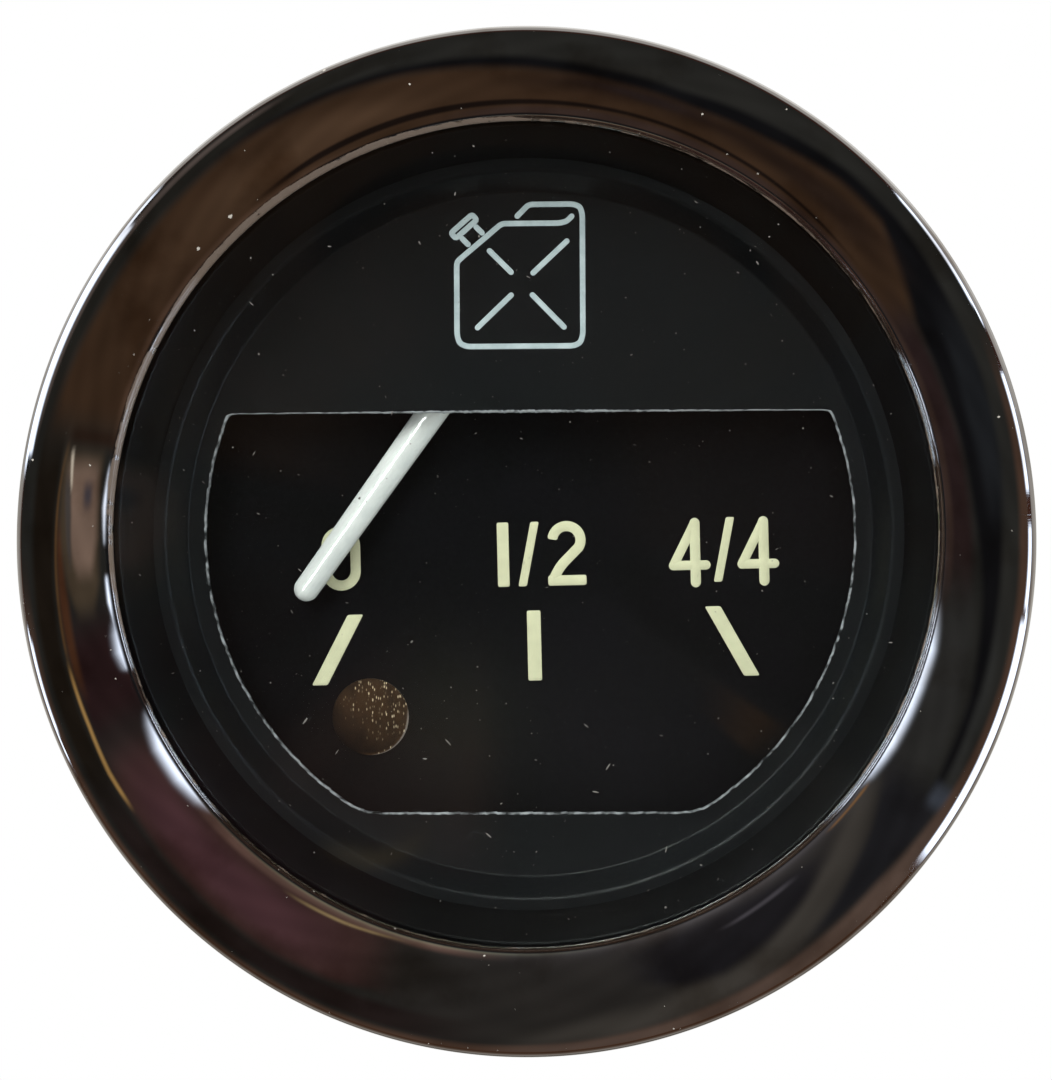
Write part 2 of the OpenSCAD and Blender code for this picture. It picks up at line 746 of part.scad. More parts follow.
module frame_plate() {
    color("darkkhaki") difference() {
        intersection() {
            rod(frame_d / 2, frame_front, frame_back);
            union() {
                translate([-frame_d / 2, frame_front, frame_cut_z]) cube([frame_d, frame_t, frame_d]);
                translate([-frame_tongue_w / 2, frame_front, -frame_d / 2])
                    cube([frame_tongue_w, frame_t, frame_d / 2]);
            }
        }
        translate([0, 0, pivot_z]) rod(bush_r + fixed_gap, frame_front - overcut, frame_back + overcut);
        for (p = pillar_places) translate([p[0], 0, p[1]])
            rod(pillar_tail_r + fixed_gap, frame_front - overcut, frame_back + overcut);
        for (side = [-1, 1]) {
            translate([side * post_x, 0, post_z])
                rod(post_tail_r + fixed_gap, frame_front - overcut, frame_back + overcut);
            translate([side * stud_x, 0, stud_z])
                rod(spacer_tail_r + fixed_gap, frame_front - overcut, frame_back + overcut);
            translate([side * lead_x, 0, lead_z])
                rod(lead_hole_r, frame_front - overcut, frame_back + overcut);
            hung(side * coil_angle) translate([0, 0, -yoke_screw_at])
                rod(yoke_screw_r + hole_gap, frame_front - overcut, frame_back + overcut);
        }
    }
}

module dial_pillars() {
    color("goldenrod") for (p = pillar_places) translate([p[0], 0, p[1]]) {
        difference() {
            rod(pillar_d / 2, dial_back, frame_front);
            rod(dial_screw_r + fixed_gap, dial_back - overcut, dial_back + dial_screw_len + end_gap);
        }
        rod(pillar_tail_r, frame_front, frame_back + frame_nut_t + 0.5);
    }
}

module frame_nuts() {
    color("silver") for (p = pillar_places) translate([p[0], 0, p[1]]) difference() {
        translate([0, frame_back, 0]) rotate([-90, 0, 0])
            cylinder(r = frame_nut_flats / sqrt(3), h = frame_nut_t, $fn = 6);
        rod(pillar_tail_r + fixed_gap, frame_back - overcut, frame_back + frame_nut_t + overcut);
    }
}

module stud_spacers() {
    color("silver") for (side = [-1, 1]) translate([side * stud_x, 0, stud_z]) {
        difference() {
            rod(spacer_post_r, frame_back, can_floor);
            rod(stud_d / 2 + fixed_gap, frame_back + stud_seat, can_floor + overcut);
        }
        rod(spacer_tail_r, frame_front, frame_back);
    }
}

module mounting_studs() {
    chamfer = 0.6;
    stud_back = can_depth + stud_reach;
    color("silver") for (side = [-1, 1]) translate([side * stud_x, 0, stud_z])
        turned([[0, frame_back + stud_seat], [stud_d / 2, frame_back + stud_seat],
            [stud_d / 2, stud_back - chamfer], [stud_d / 2 - chamfer, stud_back], [0, stud_back]]);
}

module front_bridge() {
    color("darkkhaki") difference() {
        union() {
            translate([-bridge_half_w, bridge_front, post_z - bridge_half_h])
                cube([2 * bridge_half_w, bridge_t, 2 * bridge_half_h]);
            translate([-bridge_tongue_w / 2, bridge_front, pivot_z - bridge_foot])
                cube([bridge_tongue_w, bridge_t, post_z - pivot_z + bridge_foot]);
        }
        translate([0, 0, pivot_z]) rod(bush_r + fixed_gap, bridge_front - overcut, bridge_back + overcut);
        for (side = [-1, 1]) translate([side * post_x, 0, post_z])
            rod(bridge_screw_r + hole_gap, bridge_front - overcut, bridge_back + overcut);
    }
}

module bridge_posts() {
    color("goldenrod") for (side = [-1, 1]) translate([side * post_x, 0, post_z]) {
        difference() {
            rod(post_d / 2, bridge_back, frame_front);
            rod(bridge_screw_r + fixed_gap, bridge_back - overcut, bridge_back + bridge_screw_len + end_gap);
        }
        rod(post_tail_r, frame_front, frame_back);
        rod(post_head_r, frame_back, frame_back + post_head_t);
    }
}

module bridge_screws() {
    color("silver") for (side = [-1, 1]) translate([side * post_x, 0, post_z])
        screw(bridge_screw_r, bridge_head_r, bridge_head_t, bridge_front, bridge_t + bridge_screw_len);
}

module front_bush() {
    color("goldenrod") translate([0, 0, pivot_z]) difference() {
        union() {
            rod(bush_r, bridge_front, front_bush_back);
            rod(bush_flange_r, bridge_front - bush_flange_t, bridge_front);
        }
        rod(spindle_d / 2 + run_gap, bridge_front - overcut, front_bush_back + overcut);
    }
}

module rear_bush() {
    color("goldenrod") translate([0, 0, pivot_z]) difference() {
        rod(bush_r, rear_bush_front, rear_bush_back);
        rod(spindle_d / 2 + run_gap, rear_bush_front - overcut, spindle_back + end_gap);
    }
}

module core(side) {
    color("gray") hung(side * coil_angle) translate([0, coil_y, 0]) {
        translate([0, 0, -yoke_inner]) cylinder(d = core_d, h = yoke_inner - core_tip);
        translate([0, 0, -yoke_outer]) cylinder(r = core_tail_r, h = yoke_t);
    }
}

module left_core() {
    core(1);
}

module right_core() {
    core(-1);
}

module bobbin(side) {
    color("ivory") hung(side * coil_angle) translate([0, coil_y, -bobbin_far]) difference() {
        union() {
            cylinder(r = bobbin_tube_r, h = bobbin_len);
            cylinder(d = bobbin_d, h = bobbin_flange_t);
            translate([0, 0, bobbin_len - bobbin_flange_t]) cylinder(d = bobbin_d, h = bobbin_flange_t);
        }
        translate([0, 0, -overcut]) cylinder(r = core_d / 2 + fixed_gap, h = bobbin_len + 2 * overcut);
    }
}

module left_bobbin() {
    bobbin(1);
}

module right_bobbin() {
    bobbin(-1);
}

module winding(side) {
    color("peru") hung(side * coil_angle) translate([0, coil_y, -bobbin_far + bobbin_flange_t]) difference() {
        cylinder(r = winding_r, h = bobbin_len - 2 * bobbin_flange_t);
        translate([0, 0, -overcut])
            cylinder(r = bobbin_tube_r + fixed_gap, h = bobbin_len + 2 * overcut);
    }
}

module left_winding() {
    winding(1);
}

module right_winding() {
    winding(-1);
}

module yoke() {
    color("gray") difference() {
        for (side = [-1, 1]) hung(side * coil_angle) {
            translate([-yoke_w / 2, yoke_front, -yoke_outer]) cube([yoke_w, yoke_t, yoke_outer]);
            translate([-yoke_w / 2, yoke_leg_front, -yoke_outer])
                cube([yoke_w, frame_front - yoke_leg_front, yoke_t]);
        }
        translate([0, 0, pivot_z]) rod(bush_r + fixed_gap, yoke_front - overcut, frame_front + overcut);
        for (side = [-1, 1]) hung(side * coil_angle) {
            translate([0, coil_y, -yoke_outer - overcut])
                cylinder(r = core_tail_r + fixed_gap, h = yoke_t + 2 * overcut);
            translate([0, 0, -yoke_screw_at])
                rod(yoke_screw_r + fixed_gap, yoke_front - overcut, frame_front + overcut);
        }
    }
}

module yoke_screws() {
    color("silver") for (side = [-1, 1]) hung(side * coil_angle)
        translate([0, 2 * frame_back, -yoke_screw_at]) rotate([180, 0, 0])
            screw(yoke_screw_r, yoke_head_r, yoke_head_t, frame_back, frame_t + yoke_t);
}

// Each lead starts at a blade's inner end, with one radius between them
lead_start = insulator_front - tab_tail - lead_tab_gap - lead_d / 2;
lead_turn = frame_back + lead_lift;

// Two leads run through the frame plate and over a bobbin's flange to its winding
function coil_route(side) =
    let (over = coil_y + bobbin_d / 2 + lead_d / 2 + lead_tab_gap)
    let (end_x = side * sin(coil_angle) * lead_end_at, end_z = pivot_z - cos(coil_angle) * lead_end_at)
    [[side * tab_pitch, lead_start, board_z], [side * tab_pitch, lead_turn, board_z],
        [side * lead_x, lead_turn, lead_z], [side * lead_x, over, lead_z], [end_x, over, end_z],
        [end_x, coil_y + winding_r + lead_d / 2 + lead_tab_gap, end_z]];

// The middle blade's lead is earthed on the frame plate
earth_route = [[0, lead_start, board_z], [0, lead_turn, board_z], [0, lead_turn, earth_z],
    [0, frame_back + lead_d / 2 + lead_tab_gap, earth_z]];

module lead(points) {
    for (i = [0 : len(points) - 2]) {
        step = points[i + 1] - points[i];
        flat = norm([step[0], step[1]]);
        translate(points[i]) rotate([0, 90 - atan2(step[2], flat), atan2(step[1], step[0])])
            cylinder(d = lead_d, h = norm(step), $fn = 24);
    }
    for (p = points) translate(p) sphere(d = lead_d, $fn = 24);
}

module coil_leads() {
    color("firebrick") for (route = [coil_route(-1), coil_route(1), earth_route]) lead(route);
}

module board_shape(front, back) {
    difference() {
        translate([-board_w / 2, front, board_z - board_h / 2]) cube([board_w, back - front, board_h]);
        for (i = [-1 : 1]) translate([i * tab_pitch - tab_t / 2 - fixed_gap, front - overcut,
            board_z - tab_w / 2 - fixed_gap])
            cube([tab_t + 2 * fixed_gap, back - front + 2 * overcut, tab_w + 2 * fixed_gap]);
        for (side = [-1, 1]) translate([side * rivet_x, 0, board_z])
            rod(rivet_d / 2 + fixed_gap, front - overcut, back + overcut);
    }
}

module terminal_board() {
    color("#2a1d16") board_shape(can_depth, board_back);
}

module terminal_insulator() {
    color("#2a1d16") board_shape(insulator_front, can_floor);
}

module terminal_tabs() {
    front = insulator_front - tab_tail;
    back = board_back + tab_len;
    half = tab_w / 2;
    color("gold") for (i = [-1 : 1]) translate([i * tab_pitch, 0, board_z]) slab(tab_t) difference() {
        polygon([[front, -half], [back - tab_chamfer, -half], [back, -half + tab_chamfer],
            [back, half - tab_chamfer], [back - tab_chamfer, half], [front, half]]);
        translate([back - tab_hole_inset, 0]) circle(r = tab_hole_r);
    }
}

module terminal_rivets() {
    color("silver") for (side = [-1, 1]) translate([side * rivet_x, 0, board_z]) {
        rod(rivet_d / 2, insulator_front, board_back);
        rod(rivet_head_r, insulator_front - rivet_head_t, insulator_front);
        rod(rivet_head_r, board_back, board_back + rivet_head_t);
    }
}

module spindle() {
    color("lightsteelblue") translate([0, 0, pivot_z]) rod(spindle_d / 2, spindle_front, spindle_back);
}

module needle_hub() {
    color("#151515") hung(rest_angle) difference() {
        rod(hub_d / 2, hub_front, hub_back);
        rod(spindle_d / 2 + fixed_gap, spindle_front - fixed_gap, hub_back + overcut);
        translate([-needle_root_w / 2 - fixed_gap, needle_front - fixed_gap, -hub_d])
            cube([needle_root_w + 2 * fixed_gap, needle_t + 2 * fixed_gap, hub_d - needle_inner + fixed_gap]);
    }
}

// The needle tapers to a round tip and has a ridge along its middle
module needle() {
    tip_r = needle_tip_w / 2;
    root = needle_root_w / 2;
    color("white") hung(rest_angle) intersection() {
        plate(needle_front, needle_back)
            polygon(concat([[root, -needle_inner]], arc(0, tip_r - needle_len, tip_r, 0, -180, 16),
                [[-root, -needle_inner]]));
        translate([0, 0, -needle_len]) linear_extrude(needle_len)
            polygon([[-root, needle_back], [-root, needle_back - needle_edge_t], [0, needle_front],
                [root, needle_back - needle_edge_t], [root, needle_back]]);
    }
}

module armature() {
    vane_w = 3.2;
    collar_t = 5;
    color("gray") hung(coil_angle) difference() {
        union() {
            intersection() {
                rod(armature_r, coil_y - armature_t / 2, coil_y + armature_t / 2);
                translate([-vane_w / 2, 0, -armature_r]) cube([vane_w, frame_front, 2 * armature_r]);
            }
            rod(boss_r, coil_y - collar_t / 2, coil_y + collar_t / 2);
        }
        rod(spindle_d / 2 + fixed_gap, 0, frame_front);
    }
}

module balance_arm() {
    color("silver") hung(-balance_angle) difference() {
        union() {
            rod(boss_r, balance_y - weight_d / 2, balance_y + weight_d / 2);
            translate([0, balance_y, -arm_reach]) cylinder(r = arm_r, h = arm_reach);
        }
        rod(spindle_d / 2 + fixed_gap, 0, frame_front);
    }
}

module balance_weight() {
    color("goldenrod") hung(-balance_angle) translate([0, balance_y, -weight_r - weight_len]) difference() {
        cylinder(d = weight_d, h = weight_len);
        translate([0, 0, -overcut]) cylinder(r = arm_r + fixed_gap, h = weight_len + 2 * overcut);
    }
}

// The clamp bracket is a bent strip: two legs beside the can and a bar across its back
module clamp_bracket() {
    bend_in = clamp_bend_r - clamp_t;
    at_x = clamp_leg_out - clamp_bend_r;
    at_y = clamp_back - clamp_bend_r;
    half = concat([[clamp_leg_out, panel_room]], arc(at_x, at_y, clamp_bend_r, 0, 90, 8));
    inside = concat([[clamp_leg_in, panel_room]], arc(at_x, at_y, bend_in, 0, 90, 8));
    color("gainsboro") difference() {
        translate([0, 0, stud_z - clamp_w / 2]) linear_extrude(clamp_w)
            polygon(concat(half, [for (p = reversed(half)) [-p[0], p[1]]],
                [for (p = inside) [-p[0], p[1]]], reversed(inside)));
        for (side = [-1, 1]) translate([side * stud_x, 0, stud_z])
            rod(clamp_hole_r, clamp_front - overcut, clamp_back + overcut);
        translate([-clamp_leg_out - overcut, panel_room - overcut, stud_z - foot_notch_w / 2])
            cube([2 * (clamp_leg_out + overcut), overcut + foot_notch_h, foot_notch_w]);
    }
}

module lock_washers() {
    color("silver") for (side = [-1, 1]) translate([side * stud_x, 0, stud_z]) difference() {
        union() {
            rod(washer_r, clamp_back, clamp_back + washer_t);
            for (i = [0 : washer_teeth - 1]) rotate([0, 360 / washer_teeth * i, 0])
                translate([-washer_tooth / 2, clamp_back, 0])
                    cube([washer_tooth, washer_t, washer_r + washer_tooth_len]);
        }
        rod(clamp_hole_r, clamp_back - overcut, clamp_back + washer_t + overcut);
    }
}

module thumb_nut(side) {
    nut_r = nut_d / 2;
    color("silver") translate([side * stud_x, 0, stud_z]) difference() {
        turned([[0, nut_front], [nut_collar_r, nut_front], [nut_collar_r, nut_head_front],
            [nut_r - nut_chamfer, nut_head_front], [nut_r, nut_head_front + nut_chamfer],
            [nut_r, nut_back - nut_chamfer], [nut_r - nut_chamfer, nut_back], [0, nut_back]]);
        rod(stud_d / 2 + run_gap, nut_front - overcut, nut_back + overcut);
        for (i = [0 : knurls - 1]) rotate([0, 360 / knurls * i, 0])
            translate([nut_r, 0, 0]) rotate([0, 45, 0])
                translate([-knurl_depth / sqrt(2), nut_head_front - overcut, -knurl_depth / sqrt(2)])
                    cube([knurl_depth * sqrt(2), nut_head_len + 2 * overcut, knurl_depth * sqrt(2)]);
    }
}

module left_thumb_nut() {
    thumb_nut(-1);
}

module right_thumb_nut() {
    thumb_nut(1);
}

// A push-in lamp holder: barrel through the can's back, flange against it, ribbed grip behind
module lamp_holder() {
    barrel_front = can_depth - barrel_len;
    flange_back = can_depth + lamp_flange_t;
    rib_w = 1.1;
    chamfer = 0.5;
    color("#e9e4d4") difference() {
        union() {
            turned([[0, barrel_front], [barrel_r - chamfer, barrel_front], [barrel_r, barrel_front + chamfer],
                [barrel_r, can_depth], [lamp_flange_d / 2, can_depth], [lamp_flange_d / 2, flange_back],
                [grip_d / 2, flange_back], [grip_d / 2, grip_back - chamfer],
                [grip_d / 2 - chamfer, grip_back], [0, grip_back]]);
            for (i = [0 : grip_ribs - 1]) rotate([0, 360 / grip_ribs * i, 0])
                translate([-rib_w / 2, flange_back, 0]) cube([rib_w, grip_len - chamfer, grip_d / 2 + 0.6]);
        }
        rod(cap_d / 2 + fixed_gap, barrel_front - overcut, cap_back + fixed_gap);
        for (side = [-1, 1]) translate([side * contact_x - contact_t / 2 - fixed_gap,
            grip_back - contact_root - fixed_gap, -contact_w / 2 - fixed_gap])
            cube([contact_t + 2 * fixed_gap, contact_root + overcut, contact_w + 2 * fixed_gap]);
    }
}

module lamp_cap() {
    color("silver") tube(cap_d / 2, cap_d / 2 - 0.3, cap_front, cap_back - 0.3);
    color("silver") rod(cap_d / 2, cap_back - 0.3, cap_back);
}

module lamp_bulb() {
    neck_r = cap_d / 2 - 0.3 - fixed_gap;
    color("lightcyan") turned(concat(arc(0, bulb_tip + bulb_r, bulb_r, -90, 0, 12), [[bulb_r, cap_front],
        [min(neck_r, bulb_r), cap_front], [min(neck_r, bulb_r), cap_back - 1], [0, cap_back - 1]]));
}

module lamp_contacts() {
    color("gold") for (side = [-1, 1]) translate([side * contact_x, 0, 0]) slab(contact_t) difference() {
        translate([grip_back - contact_root, -contact_w / 2])
            square([contact_root + contact_reach, contact_w]);
        translate([grip_back + contact_reach - 1.6, 0]) circle(r = contact_hole_r);
    }
}

module at_lamp(side) {
    translate([side * lamp_x, 0, lamp_z]) children();
}

module dial_lamp_holder() {
    at_lamp(1) lamp_holder();
}

module dial_lamp_cap() {
    at_lamp(1) lamp_cap();
}

module dial_lamp_bulb() {
    at_lamp(1) lamp_bulb();
}

module dial_lamp_contacts() {
    at_lamp(1) lamp_contacts();
}

module reserve_lamp_holder() {
    at_lamp(-1) lamp_holder();
}

module reserve_lamp_cap() {
    at_lamp(-1) lamp_cap();
}

module reserve_lamp_bulb() {
    at_lamp(-1) lamp_bulb();
}

module reserve_lamp_contacts() {
    at_lamp(-1) lamp_contacts();
}

bezel();
glass();
glass_seal();
spacer_ring();
mask();
fuel_symbol();
distance_ring();
dial_plate();
scale_marks();
reserve_lens();
light_tube();
dial_screws();
stop_pins();
housing();
panel_gasket();
frame_plate();
dial_pillars();
frame_nuts();
stud_spacers();
mounting_studs();
front_bridge();
bridge_posts();
bridge_screws();
front_bush();
rear_bush();
left_core();
right_core();
left_bobbin();
right_bobbin();
left_winding();
right_winding();
yoke();
yoke_screws();
coil_leads();
terminal_board();
terminal_insulator();
terminal_tabs();
terminal_rivets();
spindle();
needle_hub();
needle();
armature();
balance_arm();
balance_weight();
clamp_bracket();
lock_washers();
left_thumb_nut();
right_thumb_nut();
dial_lamp_holder();
dial_lamp_cap();
dial_lamp_bulb();
dial_lamp_contacts();
reserve_lamp_holder();
reserve_lamp_cap();
reserve_lamp_bulb();
reserve_lamp_contacts();
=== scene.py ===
import json
import logging
import math
from dataclasses import dataclass, field
from enum import Enum
from typing import Any, Sequence

import bmesh
import bpy
import numpy as np
from mathutils import Matrix, Vector

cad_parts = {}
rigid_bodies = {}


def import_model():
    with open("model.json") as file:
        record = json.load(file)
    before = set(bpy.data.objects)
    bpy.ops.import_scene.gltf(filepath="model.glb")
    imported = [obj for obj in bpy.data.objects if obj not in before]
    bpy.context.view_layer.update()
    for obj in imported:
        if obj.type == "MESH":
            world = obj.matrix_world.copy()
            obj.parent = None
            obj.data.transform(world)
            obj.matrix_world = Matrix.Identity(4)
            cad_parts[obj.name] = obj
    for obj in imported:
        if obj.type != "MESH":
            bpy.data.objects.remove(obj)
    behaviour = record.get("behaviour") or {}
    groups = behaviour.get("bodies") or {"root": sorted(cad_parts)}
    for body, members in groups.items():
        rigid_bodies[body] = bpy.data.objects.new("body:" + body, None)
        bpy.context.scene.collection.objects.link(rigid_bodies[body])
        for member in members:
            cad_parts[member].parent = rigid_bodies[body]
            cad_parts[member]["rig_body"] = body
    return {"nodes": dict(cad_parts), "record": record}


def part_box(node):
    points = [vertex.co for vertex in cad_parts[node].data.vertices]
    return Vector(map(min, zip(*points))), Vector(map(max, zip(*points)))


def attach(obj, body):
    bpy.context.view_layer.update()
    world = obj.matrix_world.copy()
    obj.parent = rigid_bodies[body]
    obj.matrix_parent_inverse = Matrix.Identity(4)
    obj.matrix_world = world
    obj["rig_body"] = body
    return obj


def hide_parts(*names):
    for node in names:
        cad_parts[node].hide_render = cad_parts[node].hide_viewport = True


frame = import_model()
# Whatever Blender starts with goes, so that the frame is alone
for stray in [o for o in bpy.data.objects if o.type in ("MESH", "LIGHT", "CAMERA") and "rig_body" not in o]:
    bpy.data.objects.remove(stray)
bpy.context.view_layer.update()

LOG = logging.getLogger("fuel_gauge")
Tree, Socket = bpy.types.NodeTree, bpy.types.NodeSocket
MM = 0.001
# The height of the needle's axis above the gauge's, in millimetres
PIVOT_Z = 15.8
NODE_SLOT = {part["node"]: part["material_slot"] for part in frame["record"]["subparts"]}
NODE_BODY = {node: body for body, nodes in frame["record"]["behaviour"]["bodies"].items() for node in nodes}


# Points and meshes

def box_mm(node: str) -> tuple[np.ndarray, np.ndarray]:
    """Gives a CAD node's box in millimetres.

    Args:
        node: the CAD node's name.

    Returns:
        The lowest and the highest corner.
    """
    low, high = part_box(node)
    return np.array(low) / MM, np.array(high) / MM


def depths_mm(node: str) -> tuple[float, float]:
    """The depths of a CAD node's front and back, in millimetres."""
    low, high = box_mm(node)
    return float(low[1]), float(high[1])


def middle_mm(node: str) -> tuple[float, float]:
    """The x and z of the middle of a CAD node's box, in millimetres."""
    low, high = box_mm(node)
    return float(low[0] + high[0]) / 2, float(low[2] + high[2]) / 2


def radius_mm(node: str) -> float:
    """Half the width in x of a CAD node, in millimetres."""
    low, high = box_mm(node)
    return float(high[0] - low[0]) / 2


def arc(centre: tuple[float, float], radius: float, start: float, end: float, steps: int) -> np.ndarray:
    """Points on an arc: the centre plus the radius times the cosine and sine of an even run of angles.

    Args:
        centre: the arc's centre.
        radius: its radius.
        start: the first angle in degrees.
        end: the last angle in degrees.
        steps: how many steps lie between them.

    Returns:
        The points, one row each.
    """
    angles = np.radians(np.linspace(start, end, steps + 1))
    return np.stack([centre[0] + radius * np.cos(angles), centre[1] + radius * np.sin(angles)], 1)


def eased(corners: Sequence[Sequence[float]], ease: float, steps: int = 3, closed: bool = True) -> np.ndarray:
    """Rounds the corners of an outline.

    Each corner becomes a parabola that leaves one side and meets the next one a short way from the corner:
    (1 - t)^2 times the first point, 2t(1 - t) times the corner and t^2 times the second point.

    Args:
        corners: the outline's corners in order.
        ease: how far from the corner the rounding starts, at most four tenths of a side.
        steps: steps along each rounding.
        closed: whether the last corner joins the first.

    Returns:
        The rounded outline's points.
    """
    own = np.asarray(corners, float)
    before, after = np.roll(own, 1, 0), np.roll(own, -1, 0)
    back, ahead = before - own, after - own
    back_len = np.linalg.norm(back, axis=1, keepdims=True)
    ahead_len = np.linalg.norm(ahead, axis=1, keepdims=True)
    first = own + back / back_len * np.minimum(ease, 0.4 * back_len)
    second = own + ahead / ahead_len * np.minimum(ease, 0.4 * ahead_len)
    t = np.linspace(0, 1, steps + 1)[None, :, None]
    curve = (1 - t) ** 2 * first[:, None] + 2 * t * (1 - t) * own[:, None] + t ** 2 * second[:, None]
    if not closed:
        return np.vstack([own[:1], curve[1:-1].reshape(-1, own.shape[1]), own[-1:]])
    return curve.reshape(-1, own.shape[1])


def smooth(value: np.ndarray, low: float, high: float) -> np.ndarray:
    """Rises from 0 at low to 1 at high as 3t^2 - 2t^3."""
    t = np.clip((value - low) / (high - low), 0, 1)
    return t * t * (3 - 2 * t)


def about(radius: np.ndarray, depth: np.ndarray, angle: np.ndarray,
          centre: tuple[float, float] = (0, 0)) -> np.ndarray:
    """Points about an axis that runs along the gauge.

    Each point lies at the centre plus its radius times the cosine and sine of its angle.

    Args:
        radius: each point's radius.
        depth: each point's depth.
        angle: each point's angle in radians, from +X towards +Z.
        centre: the axis's x and z.

    Returns:
        The grid of points.
    """
    return np.stack(np.broadcast_arrays(
        centre[0] + radius * np.cos(angle), depth, centre[1] + radius * np.sin(angle)), -1)


def whole_turn(steps: int) -> np.ndarray:
    """Even angles of one turn in radians, as a column."""
    return np.linspace(0, 2 * np.pi, steps, endpoint=False)[:, None]


@dataclass
class Patch:
    """A surface as a grid of points in millimetres.

    Attributes:
        points: the grid, rows by columns by three.
        round_rows: whether the last row joins the first.
        round_cols: whether the last column joins the first.
        wear_and_light: a value for each point, which the lens reads as painted light, the mask's edge as bare
            metal and a painted highlight, and the ring's lip as grime and a painted reflection.
        across: each point's two surface lengths in millimetres, which a finish may read as its UV map.
    """

    points: np.ndarray
    round_rows: bool = False
    round_cols: bool = False
    wear_and_light: np.ndarray | None = None
    across: np.ndarray | None = None

    def faces(self) -> np.ndarray:
        """Quads between neighbouring rows and columns, as indices into the flattened grid."""
        rows, cols = self.points.shape[:2]
        i, j = np.meshgrid(np.arange(rows if self.round_rows else rows - 1),
                           np.arange(cols if self.round_cols else cols - 1), indexing="ij")
        below, beside = (i + 1) % rows, (j + 1) % cols
        return np.stack([i * cols + j, below * cols + j, below * cols + beside, i * cols + beside],
                        -1).reshape(-1, 4)


def lathe(profile: np.ndarray, segments: int, centre: tuple[float, float] = (0, 0),
          closed: bool = True) -> Patch:
    """Turns a profile about an axis that runs along the gauge, one row of the grid for each angle.

    Args:
        profile: rows of radius and depth.
        segments: how many rows go round.
        centre: the axis's x and z.
        closed: whether the profile's last point joins its first.

    Returns:
        The turned surface.
    """
    points = about(profile[None, :, 0], profile[None, :, 1], whole_turn(segments), centre)
    return Patch(points, round_rows=True, round_cols=closed)


def new_mesh(name: str, points: np.ndarray, faces: list[list[int]]) -> bpy.types.Mesh:
    """Makes a mesh from points in millimetres and faces."""
    mesh = bpy.data.meshes.new(name)
    mesh.from_pydata((points.reshape(-1, 3) * MM).tolist(), [], faces)
    return mesh


def new_object(name: str, data: bpy.types.ID) -> bpy.types.Object:
    """Makes an object of some data and puts it in the scene."""
    made = bpy.data.objects.new(name, data)
    bpy.context.scene.collection.objects.link(made)
    return made


def turn_outwards(mesh: bpy.types.Mesh, weld: bool) -> None:
    """Points a mesh's normals outwards, after merging its doubles where it is to be welded."""
    shape = bmesh.new()
    shape.from_mesh(mesh)
    if weld:
        bmesh.ops.remove_doubles(shape, verts=shape.verts, dist=1e-7)
        bmesh.ops.dissolve_degenerate(shape, edges=shape.edges, dist=1e-8)
    bmesh.ops.recalc_face_normals(shape, faces=shape.faces)
    shape.to_mesh(mesh)
    shape.free()


def make_piece(name: str, node: str, patches: Sequence[Patch], sharp: float = 35.0) -> None:
    """Joins patches into one piece in its node's finish, and lets it stand for the node.

    Args:
        name: the piece's name.
        node: the CAD node that it replaces.
        patches: its surfaces.
        sharp: edges that turn by more than this angle, in degrees, stay sharp.
    """
    starts = np.cumsum([0] + [p.points[..., 0].size for p in patches])
    points = np.concatenate([p.points.reshape(-1, 3) for p in patches])
    faces = np.concatenate([p.faces() + start for p, start in zip(patches, starts)])
    mesh = new_mesh(name, points, faces.tolist())
    wear_and_light = np.concatenate([(np.zeros(p.points.shape[:2]) if p.wear_and_light is None else p.wear_and_light).ravel()
                           for p in patches])
    mesh.attributes.new("wear_and_light", "FLOAT", "POINT").data.foreach_set("value", wear_and_light.astype(np.float32))
    if patches[0].across is not None:
        across = np.concatenate([p.across.reshape(-1, 2) for p in patches])
        corner = np.empty(len(mesh.loops), np.int32)
        mesh.loops.foreach_get("vertex_index", corner)
        mesh.uv_layers.new(name="across").data.foreach_set("uv", across[corner].astype(np.float32).ravel())
    turn_outwards(mesh, weld=True)
    mesh.polygons.foreach_set("use_smooth", np.ones(len(mesh.polygons), bool))
    mesh.set_sharp_from_angle(angle=math.radians(sharp))
    mesh.materials.append(FINISHES[NODE_SLOT[node]].material())
    seat(new_object(name, mesh), node)


def seat(piece: bpy.types.Object, node: str) -> None:
    """Lets a piece stand for a CAD node: it rides on the node's body, and the node is hidden."""
    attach(piece, NODE_BODY[node])
    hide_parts(node)
    LOG.info("%s: %d faces for %s", piece.name, len(piece.data.polygons), node)


class Ends(Enum):
    """How a printed stroke ends."""

    ROUND = "round"
    EASED = "eased"
    JOINED = "joined"


